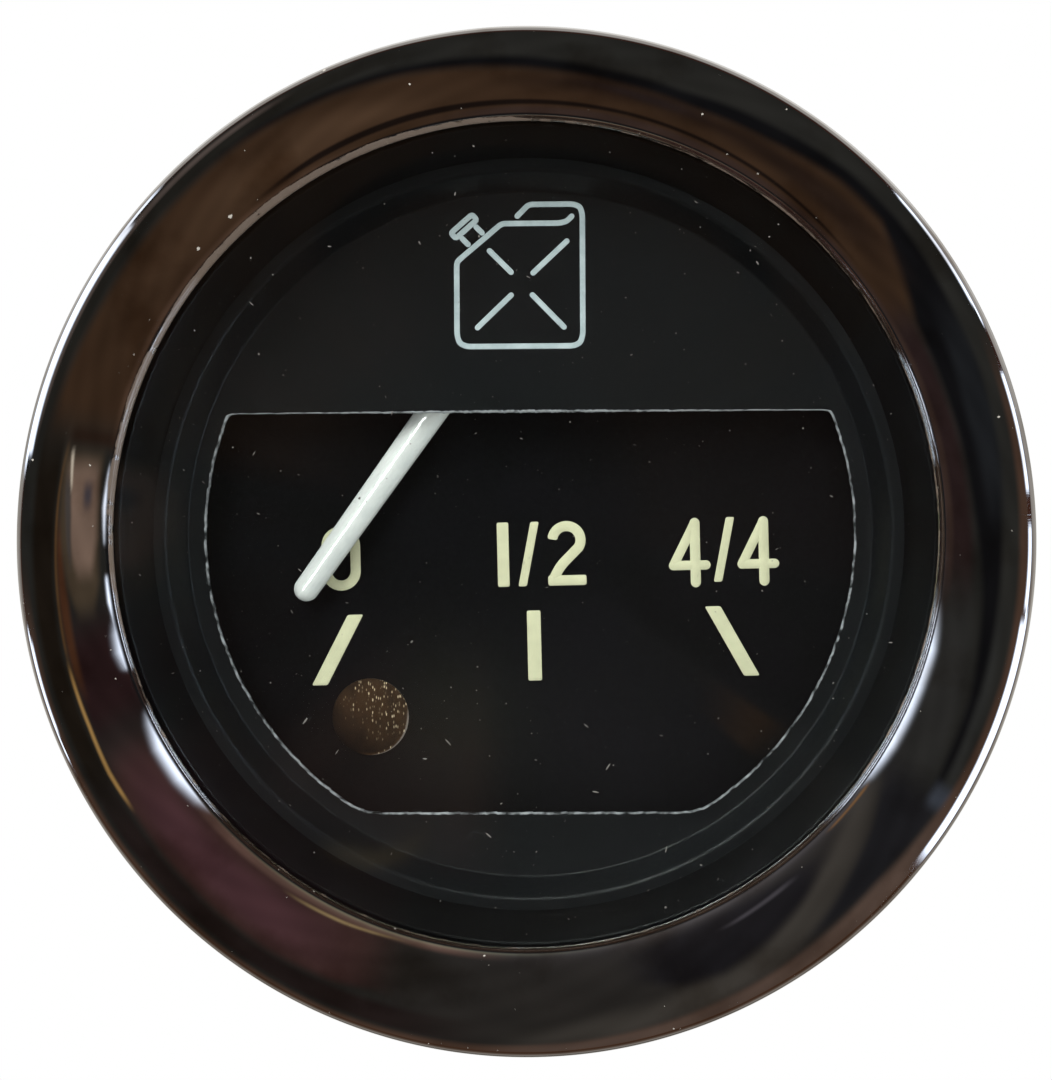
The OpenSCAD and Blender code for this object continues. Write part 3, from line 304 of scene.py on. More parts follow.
def stroke(path: np.ndarray, width: float, front: float, back: float, ends: Ends) -> Patch:
    """A printed stroke: a low ridge of ink carried along a path in the plane of the dial.

    At each point the section reaches half the width to both sides along the mitre, which is the sum of the
    two neighbouring normals over one plus their dot product. Near an end the half width loses what a
    circle in the corner takes away. The circle's radius is half the width for a round end, which is added
    past the path, and a fifth of the width for an eased one, which stays within it.

    Args:
        path: rows of x and z.
        width: the stroke's width.
        front: the depth of the ink's face.
        back: the depth of the surface under it.
        ends: how it ends.

    Returns:
        The stroke's closed surface.
    """
    joined = ends is Ends.JOINED
    ahead = np.diff(np.vstack([path, path[:1]]) if joined else path, axis=0)
    ahead /= np.linalg.norm(ahead, axis=1, keepdims=True)
    behind = np.roll(ahead, 1, 0) if joined else np.vstack([ahead[:1], ahead])
    ahead = ahead if joined else np.vstack([ahead, ahead[-1:]])
    one, two = behind[:, ::-1] * [-1, 1], ahead[:, ::-1] * [-1, 1]
    side = (one + two) / (1 + np.sum(one * two, 1, keepdims=True))
    half = np.full(len(path), width / 2)
    if not joined:
        corner = width / 2 if ends is Ends.ROUND else width / 5
        turn = np.radians(np.linspace(90, 0, 6))
        reach = corner * np.sin(turn)[:, None] - (0 if ends is Ends.ROUND else corner)
        lost = corner * (1 - np.cos(turn))
        first, last = path[0] - behind[0] * reach, path[-1] + ahead[-1] * reach[::-1]
        path = np.vstack([first[:1], first, path[1:-1], last, last[-1:]])
        side = np.vstack([np.repeat(side[:1], 7, 0), side[1:-1], np.repeat(side[-1:], 7, 0)])
        half = np.concatenate([[0], width / 2 - lost, half[1:-1], width / 2 - lost[::-1], [0]])
    across = np.array([-1, -0.86, 0, 0.86, 1, 1, -1])
    raised = np.array([0.5, 0.9, 1, 0.9, 0.5, 0, 0])
    place = path[:, None] + side[:, None] * (half[:, None] * across)[..., None]
    depth = back + (front - back) * raised[None] + 0 * half[:, None]
    return Patch(np.stack([place[..., 0], depth, place[..., 1]], -1), round_rows=joined, round_cols=True)


def blot(outline: np.ndarray, front: float, back: float) -> Patch:
    """A printed patch of ink with a convex outline: the outline at the surface, then at shares of its size.

    Args:
        outline: rows of x and z.
        front: the depth of the ink's face.
        back: the depth of the surface under it.

    Returns:
        The patch's closed surface.
    """
    middle = outline.mean(0)
    shares = np.array([0, 1, 1, 0.97, 0.9, 0])[None, :, None]
    raised = np.array([0, 0, 0.5, 0.9, 1, 1])[None]
    place = middle + (outline[:, None] - middle) * shares
    depth = back + (front - back) * raised + 0 * outline[:, :1]
    return Patch(np.stack([place[..., 0], depth, place[..., 1]], -1), round_rows=True)


# Finishes

def linear(code: str) -> tuple[float, float, float, float]:
    """Turns an sRGB hex colour into the linear one that the shaders take.

    Args:
        code: the colour as #rrggbb.

    Returns:
        Linear red, green and blue, and an alpha of 1.
    """
    parts = [int(code[i:i + 2], 16) / 255 for i in (1, 3, 5)]
    red, green, blue = (c / 12.92 if c <= 0.04045 else ((c + 0.055) / 1.055) ** 2.4 for c in parts)
    return red, green, blue, 1.0


def add_node(tree: Tree, kind: str, inputs: dict[str | int, Any] | None = None,
             stops: Sequence[tuple[float, str]] = (), **settings: Any) -> bpy.types.Node:
    """Adds one node with its settings, values and links.

    Args:
        tree: the node tree.
        kind: the node's type name without ShaderNode before it.
        inputs: values, sRGB hex colours, or the sockets to link, by input.
        stops: a colour ramp's places and sRGB hex colours.
        settings: the node's own properties.

    Returns:
        The new node.
    """
    node = tree.nodes.new("ShaderNode" + kind)
    for key, value in settings.items():
        setattr(node, key, value)
    for key, value in (inputs or {}).items():
        if isinstance(value, Socket):
            tree.links.new(value, node.inputs[key])
        else:
            node.inputs[key].default_value = linear(value) if isinstance(value, str) else value
    for index, (place, colour) in enumerate(stops):
        ramp = node.color_ramp.elements
        element = ramp[index] if index < 2 else ramp.new(place)
        element.position, element.color = place, linear(colour)
    return node


def empty_tree(owner: bpy.types.ID) -> Tree:
    """Gives a material or a world a node tree with nothing in it."""
    owner.use_nodes = True
    owner.node_tree.nodes.clear()
    return owner.node_tree


def grain(mm: float) -> float:
    """A texture's scale at which its features measure that many millimetres."""
    return 1 / (mm * MM)


@dataclass(frozen=True)
class Finish:
    """What every finish shares: its name, and a material that is made once."""

    name: str

    def material(self) -> bpy.types.Material:
        """Makes the finish's material, or finds it."""
        made = bpy.data.materials.get(self.name)
        if made is None:
            made = bpy.data.materials.new(self.name)
            tree = empty_tree(made)
            add_node(tree, "OutputMaterial", {"Surface": self.dress(tree)})
        return made

    def dress(self, tree: Tree) -> Socket:
        """Builds the nodes and returns the shader."""
        raise NotImplementedError


@dataclass(frozen=True)
class PlainFinish(Finish):
    """A solid finish of two close tones in patches, with a fine grain and specks of dust or dirt.

    Attributes:
        base: its main colour.
        tone: the colour that its patches run to.
        patch_mm: the size of the patches.
        rough: the lowest and highest roughness.
        grain_mm: the size of the grain.
        grain_depth: the depth of the grain in millimetres.
        metallic: 1 for a metal.
        ior: the index of refraction of what isn't a metal.
        speck: the colour of its specks.
        speck_mm: the distance between specks.
        speck_share: the share of it that they cover.
        stretch: how far the grain is drawn out along x, y and z.
        coat: the weight of a clear lacquer.
        shine: the specular level of what isn't a metal.
    """

    base: str
    tone: str
    patch_mm: float = 4.0
    rough: tuple[float, float] = (0.35, 0.5)
    grain_mm: float = 0.3
    grain_depth: float = 0.01
    metallic: float = 0.0
    ior: float = 1.5
    speck: str = "#8c8a84"
    speck_mm: float = 1.2
    speck_share: float = 0.0
    stretch: tuple[float, float, float] = (1, 1, 1)
    coat: float = 0.0
    shine: float = 0.5

    def dress(self, tree: Tree) -> Socket:
        """Mixes the tones by a soft noise, sprinkles the specks and lifts the grain as a bump."""
        place = add_node(tree, "TexCoord").outputs["Object"]
        drawn = add_node(tree, "Mapping",
                         {"Vector": place, "Scale": [1 / s for s in self.stretch]}).outputs[0]
        patches = add_node(tree, "TexNoise", {
            "Vector": place, "Scale": grain(self.patch_mm), "Detail": 4.0, "Roughness": 0.6}).outputs["Fac"]
        fine = add_node(tree, "TexNoise", {
            "Vector": drawn, "Scale": grain(self.grain_mm), "Detail": 3.0}).outputs["Fac"]
        share = add_node(tree, "MapRange", {
            "Value": patches, "From Min": 0.35, "From Max": 0.65}).outputs[0]
        colour = add_node(tree, "Mix", {
            0: share, 6: self.base, 7: self.tone}, data_type="RGBA").outputs[2]
        if self.speck_share > 0:
            cells = add_node(tree, "TexVoronoi", {
                "Vector": place, "Scale": grain(self.speck_mm)}).outputs["Distance"]
            specks = add_node(tree, "MapRange", {
                "Value": cells, "From Min": self.speck_share * 0.6, "From Max": self.speck_share * 0.3,
                "To Min": 0.0, "To Max": 0.8}).outputs[0]
            colour = add_node(tree, "Mix", {
                0: specks, 6: colour, 7: self.speck}, data_type="RGBA").outputs[2]
        gloss = add_node(tree, "MapRange", {
            "Value": fine, "From Min": 0.3, "From Max": 0.7,
            "To Min": self.rough[0], "To Max": self.rough[1]}).outputs[0]
        lift = add_node(tree, "Bump", {
            "Height": fine, "Distance": self.grain_depth * MM, "Strength": 1.0}).outputs[0]
        inputs: dict[str | int, Any] = {
            "Base Color": colour, "Roughness": gloss, "Normal": lift, "Metallic": self.metallic}
        if not self.metallic:
            inputs |= {"IOR": self.ior, "Specular IOR Level": self.shine}
        if self.coat:
            inputs |= {"Coat Weight": self.coat, "Coat Roughness": 0.08}
        return add_node(tree, "BsdfPrincipled", inputs).outputs[0]


@dataclass(frozen=True)
class ChromePlate(Finish):
    """Bright chromium on rolled steel: a dark mirror, with hairlines from wiping, pits, settled dust, and a lip
    band of grime and painted reflection.
    """

    colour: str = "#c9c6c4"
    haze: str = "#9d938a"
    dust: str = "#b9b4aa"
    # The lip band's warm grey: grime, and a painted reflection of the lip's edge
    edge: str = "#7d6e61"
    hairline_mm: float = 0.11
    hairline_len_mm: float = 4.0
    hairline_depth: float = 0.0004
    smear_mm: float = 5.0
    ragged_mm: float = 0.12
    ragged_by: float = 0.14
    dust_mm: float = 1.9
    mote_mm: float = 0.7
    lip_band_mm: float = 0.9

    def dress(self, tree: Tree) -> Socket:
        """Reads lengths around and across the ring, draws hairlines across it and dust over it, and lays the lip
        band of grime and painted reflection.
        """
        across = add_node(tree, "UVMap", uv_map="across").outputs[0]
        place = add_node(tree, "TexCoord").outputs["Object"]
        drawn = add_node(tree, "Mapping", {
            "Vector": across, "Scale": (1 / self.hairline_mm, 1 / self.hairline_len_mm, 1)}).outputs[0]
        lines = add_node(tree, "TexNoise", {"Vector": drawn, "Scale": 1.0, "Detail": 2.0}).outputs["Fac"]
        scratch = add_node(tree, "MapRange", {
            "Value": lines, "From Min": 0.64, "From Max": 0.74}).outputs[0]
        smears = add_node(tree, "TexNoise", {
            "Vector": place, "Scale": grain(self.smear_mm), "Detail": 5.0}).outputs["Fac"]
        haze = add_node(tree, "MapRange", {
            "Value": smears, "From Min": 0.5, "From Max": 0.75}).outputs[0]
        stir = add_node(tree, "TexNoise", {"Vector": place, "Scale": grain(self.ragged_mm), "Detail": 2.0})
        ragged = add_node(tree, "VectorMath", {
            0: stir.outputs["Color"], 1: (self.ragged_by * MM,) * 3, 2: place},
            operation="MULTIPLY_ADD").outputs[0]
        cells = add_node(tree, "TexVoronoi", {"Vector": ragged, "Scale": grain(self.dust_mm)})
        own = add_node(tree, "SeparateColor", {"Color": cells.outputs["Color"]}).outputs[0]
        size = add_node(tree, "Math", {0: own, 1: 4.0}, operation="POWER").outputs[0]
        near = add_node(tree, "Math", {
            0: size, 1: -0.05, 2: cells.outputs["Distance"]}, operation="MULTIPLY_ADD").outputs[0]
        specks = add_node(tree, "MapRange", {
            "Value": near, "From Min": 0.032, "From Max": 0.01}).outputs[0]
        motes = add_node(tree, "TexVoronoi", {"Vector": ragged, "Scale": grain(self.mote_mm)})
        some = add_node(tree, "SeparateColor", {"Color": motes.outputs["Color"]}).outputs[1]
        some = add_node(tree, "MapRange", {
            "Value": some, "From Min": 0.4, "From Max": 1.0, "To Max": 0.12}).outputs[0]
        mote = add_node(tree, "Math", {
            0: some, 1: motes.outputs["Distance"]}, operation="SUBTRACT").outputs[0]
        mote = add_node(tree, "MapRange", {
            "Value": mote, "From Min": 0.0, "From Max": 0.06, "To Max": 0.5}).outputs[0]
        specks = add_node(tree, "Math", {0: specks, 1: mote}, operation="MAXIMUM").outputs[0]
        plated = add_node(tree, "Mix", {
            0: haze, 6: self.colour, 7: self.haze}, data_type="RGBA").outputs[2]
        gloss = add_node(tree, "MapRange", {
            "Value": haze, "To Min": 0.045, "To Max": 0.11}).outputs[0]
        rough = add_node(tree, "Math", {
            0: scratch, 1: 0.12, 2: gloss}, operation="MULTIPLY_ADD").outputs[0]
        lift = add_node(tree, "Bump", {
            "Height": lines, "Distance": self.hairline_depth * MM, "Strength": 1.0}).outputs[0]
        mirror = add_node(tree, "BsdfPrincipled", {
            "Base Color": plated, "Metallic": 1.0, "Roughness": rough, "Normal": lift}).outputs[0]
        settled = add_node(tree, "BsdfPrincipled", {
            "Base Color": self.dust, "Roughness": 0.9}).outputs[0]
        dusty = add_node(tree, "MixShader", {0: specks, 1: mirror, 2: settled}).outputs[0]
        # The lip band: a matt warm grey, grime and a painted reflection, where the ring's point value times a
        # noise is high
        wear_and_light = add_node(tree, "Attribute", attribute_name="wear_and_light").outputs["Fac"]
        broken = add_node(tree, "TexNoise", {
            "Vector": place, "Scale": grain(self.lip_band_mm), "Detail": 3.0}).outputs["Fac"]
        line = add_node(tree, "Math", {0: wear_and_light, 1: broken}, operation="MULTIPLY").outputs[0]
        line = add_node(tree, "MapRange", {
            "Value": line, "From Min": 0.38, "From Max": 0.6, "To Max": 0.8}).outputs[0]
        grime_and_reflection = add_node(tree, "BsdfPrincipled", {
            "Base Color": self.edge, "Roughness": 0.6}).outputs[0]
        return add_node(tree, "MixShader", {0: line, 1: dusty, 2: grime_and_reflection}).outputs[0]


@dataclass(frozen=True)
class MaskPaint(Finish):
    """Satin black stove enamel on pressed sheet: deep black, softly glossy, and pale where its edge is cut, as
    bare metal and a painted highlight.
    """

    base: str = "#080a0c"
    tone: str = "#0b0e11"
    # The cut edge's pale: bare metal, and a painted highlight
    cut: str = "#a0a3a6"
    patch_mm: float = 6.0
    leather_mm: float = 0.35
    leather_depth: float = 0.006
    cut_mm: float = 0.5

    def dress(self, tree: Tree) -> Socket:
        """Adds a fine leather of paint, and the pale of bare metal and a painted highlight where the point value
        times a noise is high.
        """
        place = add_node(tree, "TexCoord").outputs["Object"]
        patches = add_node(tree, "TexNoise", {
            "Vector": place, "Scale": grain(self.patch_mm), "Detail": 4.0}).outputs["Fac"]
        fine = add_node(tree, "TexNoise", {
            "Vector": place, "Scale": grain(self.leather_mm), "Detail": 3.0}).outputs["Fac"]
        wobble = add_node(tree, "TexNoise", {
            "Vector": place, "Scale": grain(self.cut_mm), "Detail": 2.0}).outputs["Fac"]
        wear_and_light = add_node(tree, "Attribute", attribute_name="wear_and_light").outputs["Fac"]
        broken = add_node(tree, "Math", {0: wear_and_light, 1: wobble}, operation="MULTIPLY").outputs[0]
        bare_and_highlight = add_node(tree, "MapRange", {
            "Value": broken, "From Min": 0.28, "From Max": 0.58}).outputs[0]
        painted = add_node(tree, "Mix", {
            0: patches, 6: self.base, 7: self.tone}, data_type="RGBA").outputs[2]
        colour = add_node(tree, "Mix", {
            0: bare_and_highlight, 6: painted, 7: self.cut}, data_type="RGBA").outputs[2]
        gloss = add_node(tree, "MapRange", {
            "Value": fine, "From Min": 0.3, "From Max": 0.7, "To Min": 0.34, "To Max": 0.5}).outputs[0]
        lift = add_node(tree, "Bump", {
            "Height": fine, "Distance": self.leather_depth * MM, "Strength": 1.0}).outputs[0]
        return add_node(tree, "BsdfPrincipled", {
            "Base Color": colour, "Roughness": gloss, "Normal": lift, "Specular IOR Level": 0.3}).outputs[0]


@dataclass(frozen=True)
class ClearGlass(Finish):
    """Polished flat glass: clear, with the faint green of window glass, and its own shadow let through."""

    tint: str = "#f4fbf8"
    smear_mm: float = 7.0
    smear_rough: float = 0.04

    def dress(self, tree: Tree) -> Socket:
        """Mixes glass with clear passage for shadow and diffuse rays, and smears the gloss very slightly."""
        path = add_node(tree, "LightPath")
        place = add_node(tree, "TexCoord").outputs["Object"]
        smears = add_node(tree, "TexNoise", {
            "Vector": place, "Scale": grain(self.smear_mm), "Detail": 6.0, "Roughness": 0.7}).outputs["Fac"]
        gloss = add_node(tree, "MapRange", {
            "Value": smears, "From Min": 0.45, "From Max": 0.8, "To Max": self.smear_rough}).outputs[0]
        glass = add_node(tree, "BsdfPrincipled", {
            "Base Color": self.tint, "Roughness": gloss, "IOR": 1.52,
            "Transmission Weight": 1.0}).outputs[0]
        clear = add_node(tree, "BsdfTransparent").outputs[0]
        passing = add_node(tree, "Math", {
            0: path.outputs["Is Shadow Ray"], 1: path.outputs["Is Diffuse Ray"]},
            operation="MAXIMUM").outputs[0]
        return add_node(tree, "MixShader", {0: passing, 1: glass, 2: clear}).outputs[0]


@dataclass(frozen=True)
class AmberLens(Finish):
    """Dark amber moulded lens, unlit: painted shade and light in deep and lit brown, painted glints as bright
    specks where its pyramids catch light, a rim with a painted highlight.
    """

    # Painted shade and painted light of the body, the painted glints' colour, and the rim's painted highlight
    deep: str = "#0b0706"
    lit: str = "#352210"
    glint_paint: str = "#d9c3a2"
    rim: str = "#7d736c"
    cloud_mm: float = 1.2
    facet_mm: float = 0.12
    facet_depth: float = 0.02

    def dress(self, tree: Tree) -> Socket:
        """The body runs from painted shade to painted light with the point value, and so do the painted glints,
        each in its own cell.
        """
        place = add_node(tree, "TexCoord").outputs["Object"]
        near = add_node(tree, "Attribute", attribute_name="wear_and_light").outputs["Fac"]
        cloud = add_node(tree, "TexNoise", {
            "Vector": place, "Scale": grain(self.cloud_mm), "Detail": 4.0}).outputs["Fac"]
        body = add_node(tree, "Math", {0: cloud, 1: near}, operation="MULTIPLY").outputs[0]
        body = add_node(tree, "MapRange", {"Value": body, "From Min": 0.02, "From Max": 0.45}).outputs[0]
        drawn = add_node(tree, "Mapping", {"Vector": place, "Scale": (1, 1, 0.38)}).outputs[0]
        cells = add_node(tree, "TexVoronoi", {"Vector": drawn, "Scale": grain(self.facet_mm)})
        dot = add_node(tree, "MapRange", {
            "Value": cells.outputs["Distance"], "From Min": 0.4, "From Max": 0.14}).outputs[0]
        chosen = add_node(tree, "SeparateColor", {"Color": cells.outputs["Color"]}).outputs[0]
        some = add_node(tree, "Math", {0: chosen, 1: near}, operation="MULTIPLY").outputs[0]
        some = add_node(tree, "MapRange", {"Value": some, "From Min": 0.4, "From Max": 0.8}).outputs[0]
        painted_glints = add_node(tree, "Math", {0: dot, 1: some}, operation="MULTIPLY").outputs[0]
        brown = add_node(tree, "Mix", {
            0: body, 6: self.deep, 7: self.lit}, data_type="RGBA").outputs[2]
        colour = add_node(tree, "Mix", {
            0: painted_glints, 6: brown, 7: self.glint_paint}, data_type="RGBA").outputs[2]
        # A painted highlight on the lower right rim
        edge = add_node(tree, "MapRange", {"Value": near, "From Min": 1.1, "From Max": 1.6}).outputs[0]
        colour = add_node(tree, "Mix", {
            0: edge, 6: colour, 7: self.rim}, data_type="RGBA").outputs[2]
        lift = add_node(tree, "Bump", {
            "Height": cells.outputs["Distance"], "Distance": self.facet_depth * MM, "Strength": 1.0}).outputs[0]
        return add_node(tree, "BsdfPrincipled", {
            "Base Color": colour, "Roughness": 0.5, "IOR": 1.49, "Normal": lift,
            "Specular IOR Level": 0.16}).outputs[0]


# What each part is made of, by the record's material slots
FINISHES: dict[str, Finish] = {
    "chrome": ChromePlate("chromium_plate"),
    "cover_glass": ClearGlass("flat_glass"),
    # Vulcanised rubber: dull, slightly greyed black
    "black_rubber": PlainFinish("vulcanised_rubber", "#131314", "#1e1e1f", 3, (0.6, 0.8), 0.2, 0.01,
                                speck="#5c5a55", speck_mm=2.3, speck_share=0.08),
    # Semi-gloss black paint on turned metal, scuffed by assembly
    "spacer_black": PlainFinish("semi_gloss_black_paint", "#030304", "#070809", 2.5, (0.3, 0.5), 0.3, 0.001,
                                shine=0.2),
    "mask_black": MaskPaint("satin_stove_enamel"),
    # Screen-printed pale grey ink: matt, a little uneven
    "symbol_ink": PlainFinish("pale_grey_screen_ink", "#b9c5c7", "#a4b1b4", 0.8, (0.5, 0.7), 0.12, 0.003),
    # Black oxide on turned steel: even, dry and dark
    "ring_black": PlainFinish("black_oxide", "#0c0c0e", "#141416", 4, (0.5, 0.7), 0.3, 0.005),
    # Matt black dial paint: almost no reflection, with a fine tooth
    "dial_black": PlainFinish("matt_dial_paint", "#050506", "#08070a", 5, (0.6, 0.8), 0.25, 0.003,
                              speck="#3a3733", speck_mm=2.4, speck_share=0.05, shine=0.12),
    # Screen-printed cream ink, aged slightly yellow
    "dial_ink": PlainFinish("cream_screen_ink", "#d6d4b0", "#cbc9a6", 1.1, (0.5, 0.7), 0.12, 0.003),
    "amber_lens": AmberLens("amber_acrylic"),
    # Injection-moulded polystyrene: an even warm white, softly glossy
    "white_plastic": PlainFinish("white_polystyrene", "#dcdad2", "#cfccc2", 4, (0.35, 0.5), 0.4, 0.004),
    # Blued steel: dark, cool and smooth
    "dark_steel": PlainFinish("blued_steel", "#2b2d33", "#3a3c42", 1.5, (0.3, 0.5), 0.15, 0.003, metallic=1),
    # Yellow passivated zinc on deep-drawn steel: straw and olive with a trace of pink, cloudy gloss
    "can_zinc": PlainFinish("yellow_passivated_zinc", "#cdb57c", "#b3a878", 9, (0.3, 0.33), 0.9, 0.0006,
                            metallic=1, speck="#7d6a45", speck_mm=2.6, speck_share=0.06, stretch=(1, 4, 1)),
    # Passivated zinc on stamped sheet: a duller straw, with fine tool marks
    "frame_zinc": PlainFinish("zinc_on_sheet", "#a99d74", "#8d8667", 5, (0.3, 0.5), 0.25, 0.004, metallic=1),
    # Bright zinc plate on cut threads and knurls: cool, sharp gloss, with specks of dirt
    "bright_zinc": PlainFinish("bright_zinc_plate", "#c6c9cd", "#aeb1b6", 3.5, (0.16, 0.3), 0.2, 0.0015,
                               metallic=1, speck="#6d675c", speck_mm=1.6, speck_share=0.07),
    # Turned brass, tarnished in patches
    "brass": PlainFinish("turned_brass", "#c79f55", "#a98442", 2, (0.2, 0.4), 0.12, 0.003, metallic=1),
    # Annealed soft iron: grey and dull
    "soft_iron": PlainFinish("soft_iron", "#6f6e6d", "#5a5958", 2, (0.4, 0.6), 0.2, 0.005, metallic=1),
    # Moulded nylon, yellowed to ivory
    "bobbin_plastic": PlainFinish("ivory_nylon", "#d9d2b8", "#cbc3a6", 3, (0.4, 0.55), 0.3, 0.004),
    # Copper wire under clear enamel: deep red-brown with a wet gloss
    "enamelled_wire": PlainFinish("enamelled_copper", "#8a3f1c", "#a5552a", 1, (0.2, 0.35), 0.08, 0.003,
                                  metallic=1, coat=0.6),
    # Varnished woven sleeving: dark red, half matt
    "lead_sleeve": PlainFinish("varnished_sleeving", "#7d2320", "#8f2d28", 1, (0.4, 0.55), 0.1, 0.004),
    # Paper-phenolic laminate: warm brown with a faint fibre
    "board_brown": PlainFinish("phenolic_paper", "#2c1d15", "#3b281c", 1.4, (0.35, 0.5), 0.15, 0.004,
                               stretch=(5, 1, 1), coat=0.2),
    # Stamped brass strip: yellow, with stains from handling
    "blade_brass": PlainFinish("stamped_brass", "#c8a862", "#a9884c", 1.6, (0.25, 0.45), 0.14, 0.003,
                               metallic=1, speck="#6b5632", speck_mm=1.1, speck_share=0.1),
    # Polished steel: almost a mirror
    "spindle_steel": PlainFinish("polished_steel", "#b5b6b8", "#a0a1a4", 2, (0.12, 0.22), 0.1, 0.001, metallic=1),
    # Moulded acetal: black, slightly waxy
    "hub_black": PlainFinish("black_acetal", "#101011", "#19191a", 2, (0.35, 0.5), 0.2, 0.003),
    # White stove enamel on the needle: soft gloss, faintly blue
    "needle_white": PlainFinish("white_stove_enamel", "#dfe1dd", "#d4d7d4", 1.8, (0.12, 0.22), 0.3, 0.022),
    # Zinc on rolled strip: pale, evenly brushed along the strip
    "clamp_zinc": PlainFinish("zinc_on_strip", "#bdc0c2", "#a7a9a8", 8, (0.27, 0.3), 0.8, 0.0006, metallic=1,
                              speck="#8b867b", speck_mm=2.8, speck_share=0.06, stretch=(3, 3, 1)),
    # Moulded polyamide: black with a fine leather grain, dusty
    "holder_plastic": PlainFinish("black_polyamide", "#17181a", "#202124", 2.5, (0.4, 0.58), 0.25, 0.006,
                                  speck_share=0.1),
    # Nickel on drawn brass: warm grey with a soft gloss
    "cap_steel": PlainFinish("nickelled_cap", "#b1aea6", "#97938a", 1.6, (0.2, 0.35), 0.12, 0.002, metallic=1),
    "bulb_glass": ClearGlass("bulb_glass", tint="#fbfbf6"),
}


def dress_nodes() -> None:
    """Gives every CAD node the finish of its slot, so that none is left plain."""
    for node, thing in frame["nodes"].items():
        thing.data.materials.clear()
        thing.data.materials.append(FINISHES[NODE_SLOT[node]].material())


# The front

@dataclass
class FrontRing:
    """The chrome ring: one rolled sheet with a lip at the glass, a broad crown and a rolled outer edge.

    Lengths are in millimetres. The ring is a little eccentric, as the photograph shows: its lip is centred
    on the axis, and its outer edge lies lower.
    """

    outer_r: float = field(default_factory=lambda: radius_mm("bezel"))
    crest_y: float = field(default_factory=lambda: depths_mm("bezel")[0])
    crimp_y: float = field(default_factory=lambda: depths_mm("bezel")[1])
    opening_r: float = 24.5
    crown_r: float = 7.0
    inner_r: float = 3.6
    edge_r: float = 1.1
    lip_r: float = 0.4
    bend_r: float = 0.9
    crimp_w: float = 3.0
    sheet: float = 0.6
    foot_y: float = -5.2
    drop: float = 0.45
    tall: float = 0.3
    # Where the lip band of grime and painted reflection is widest, in degrees
    lip_band_widest_deg: float = 140.0
    outside_steps: int = 18
    inside_steps: int = 5
    segments: int = 640

    def skin(self, inset: float, fineness: int) -> np.ndarray:
        """The section's outer line, from the lip over the crest to the crimp, as five arcs that touch.

        Args:
            inset: how far inside the outer line it lies.
            fineness: how many steps each arc has.

        Returns:
            Rows of radius and depth.
        """
        crest_r = (self.opening_r + self.outer_r) / 2
        over, under = self.crown_r - self.edge_r, self.inner_r - self.lip_r
        edge_a = math.asin((self.outer_r - self.edge_r - crest_r) / over)
        lip_a = math.asin((crest_r - self.opening_r - self.lip_r) / under)
        edge_y = self.crest_y + self.crown_r - over * math.cos(edge_a)
        lip_y = self.crest_y + self.inner_r - under * math.cos(lip_a)
        lip_turn, edge_turn = 270 - math.degrees(lip_a), 270 + math.degrees(edge_a)
        lip_end = 180 + math.degrees(math.asin((lip_y - self.foot_y) / self.lip_r))
        tip = arc((self.opening_r + self.lip_r, lip_y), max(self.lip_r - inset, 0.02), lip_end, lip_turn,
                  fineness)
        return np.vstack([
            tip[:-1],
            arc((crest_r, self.crest_y + self.inner_r), self.inner_r - inset, lip_turn, 270, fineness)[:-1],
            arc((crest_r, self.crest_y + self.crown_r), self.crown_r - inset, 270, edge_turn, fineness)[:-1],
            arc((self.outer_r - self.edge_r, edge_y), self.edge_r - inset, edge_turn, 360, fineness),
            arc((self.outer_r - self.bend_r, self.crimp_y - self.bend_r), self.bend_r - inset, 0, 90,
                fineness // 2)])

    def let_drift(self, points: np.ndarray, radius: np.ndarray, angle: np.ndarray) -> None:
        """Moves points of the ring down and stretches it upright, from nothing at the lip to most outside.

        Args:
            points: the points, which are changed.
            radius: each point's radius.
            angle: each point's angle in radians.
        """
        out = smooth(radius, self.opening_r, self.outer_r)
        points[..., 2] += out * (self.tall * np.sin(angle) - self.drop)

    def build(self) -> None:
        """Turns the section round, lets its outer part drift, and marks a band along the lip for grime and a
        painted reflection.

        The band is widest about one angle at the upper left, and two sine waves
        of different lengths make its edge uneven. It fades towards the bottom.
        """
        crimp_r = self.outer_r - self.crimp_w
        profile = np.vstack([
            self.skin(0, self.outside_steps), [[crimp_r, self.crimp_y]], [[crimp_r, self.crimp_y - self.sheet]],
            self.skin(self.sheet, self.inside_steps)[::-1]])
        patch = lathe(profile, self.segments)
        angle = whole_turn(self.segments)
        radius = profile[None, :, 0]
        self.let_drift(patch.points, radius, angle)
        run = np.concatenate([[0], np.cumsum(np.linalg.norm(np.diff(profile, axis=0), axis=1))])[None]
        patch.across = np.stack([angle * radius, run + 0 * angle], -1)
        # The lip band of grime and painted reflection: widest at the upper left, weaker towards the bottom
        lip_band_widest = smooth(np.cos(angle - np.radians(self.lip_band_widest_deg)), 0.5, 0.87)
        below = smooth(-np.sin(angle), 0.3, 0.8)
        wavy = 0.06 + 0.03 * np.sin(9 * angle) + 0.03 * np.sin(23 * angle + 1) + 0.22 * lip_band_widest
        wavy = wavy + self.opening_r
        band = 1 - smooth(radius, wavy, wavy + 0.06 + 0.14 * lip_band_widest)
        patch.wear_and_light = band * (1 + 0.6 * lip_band_widest - 0.25 * below)
        make_piece("chrome_ring", "bezel", [patch])


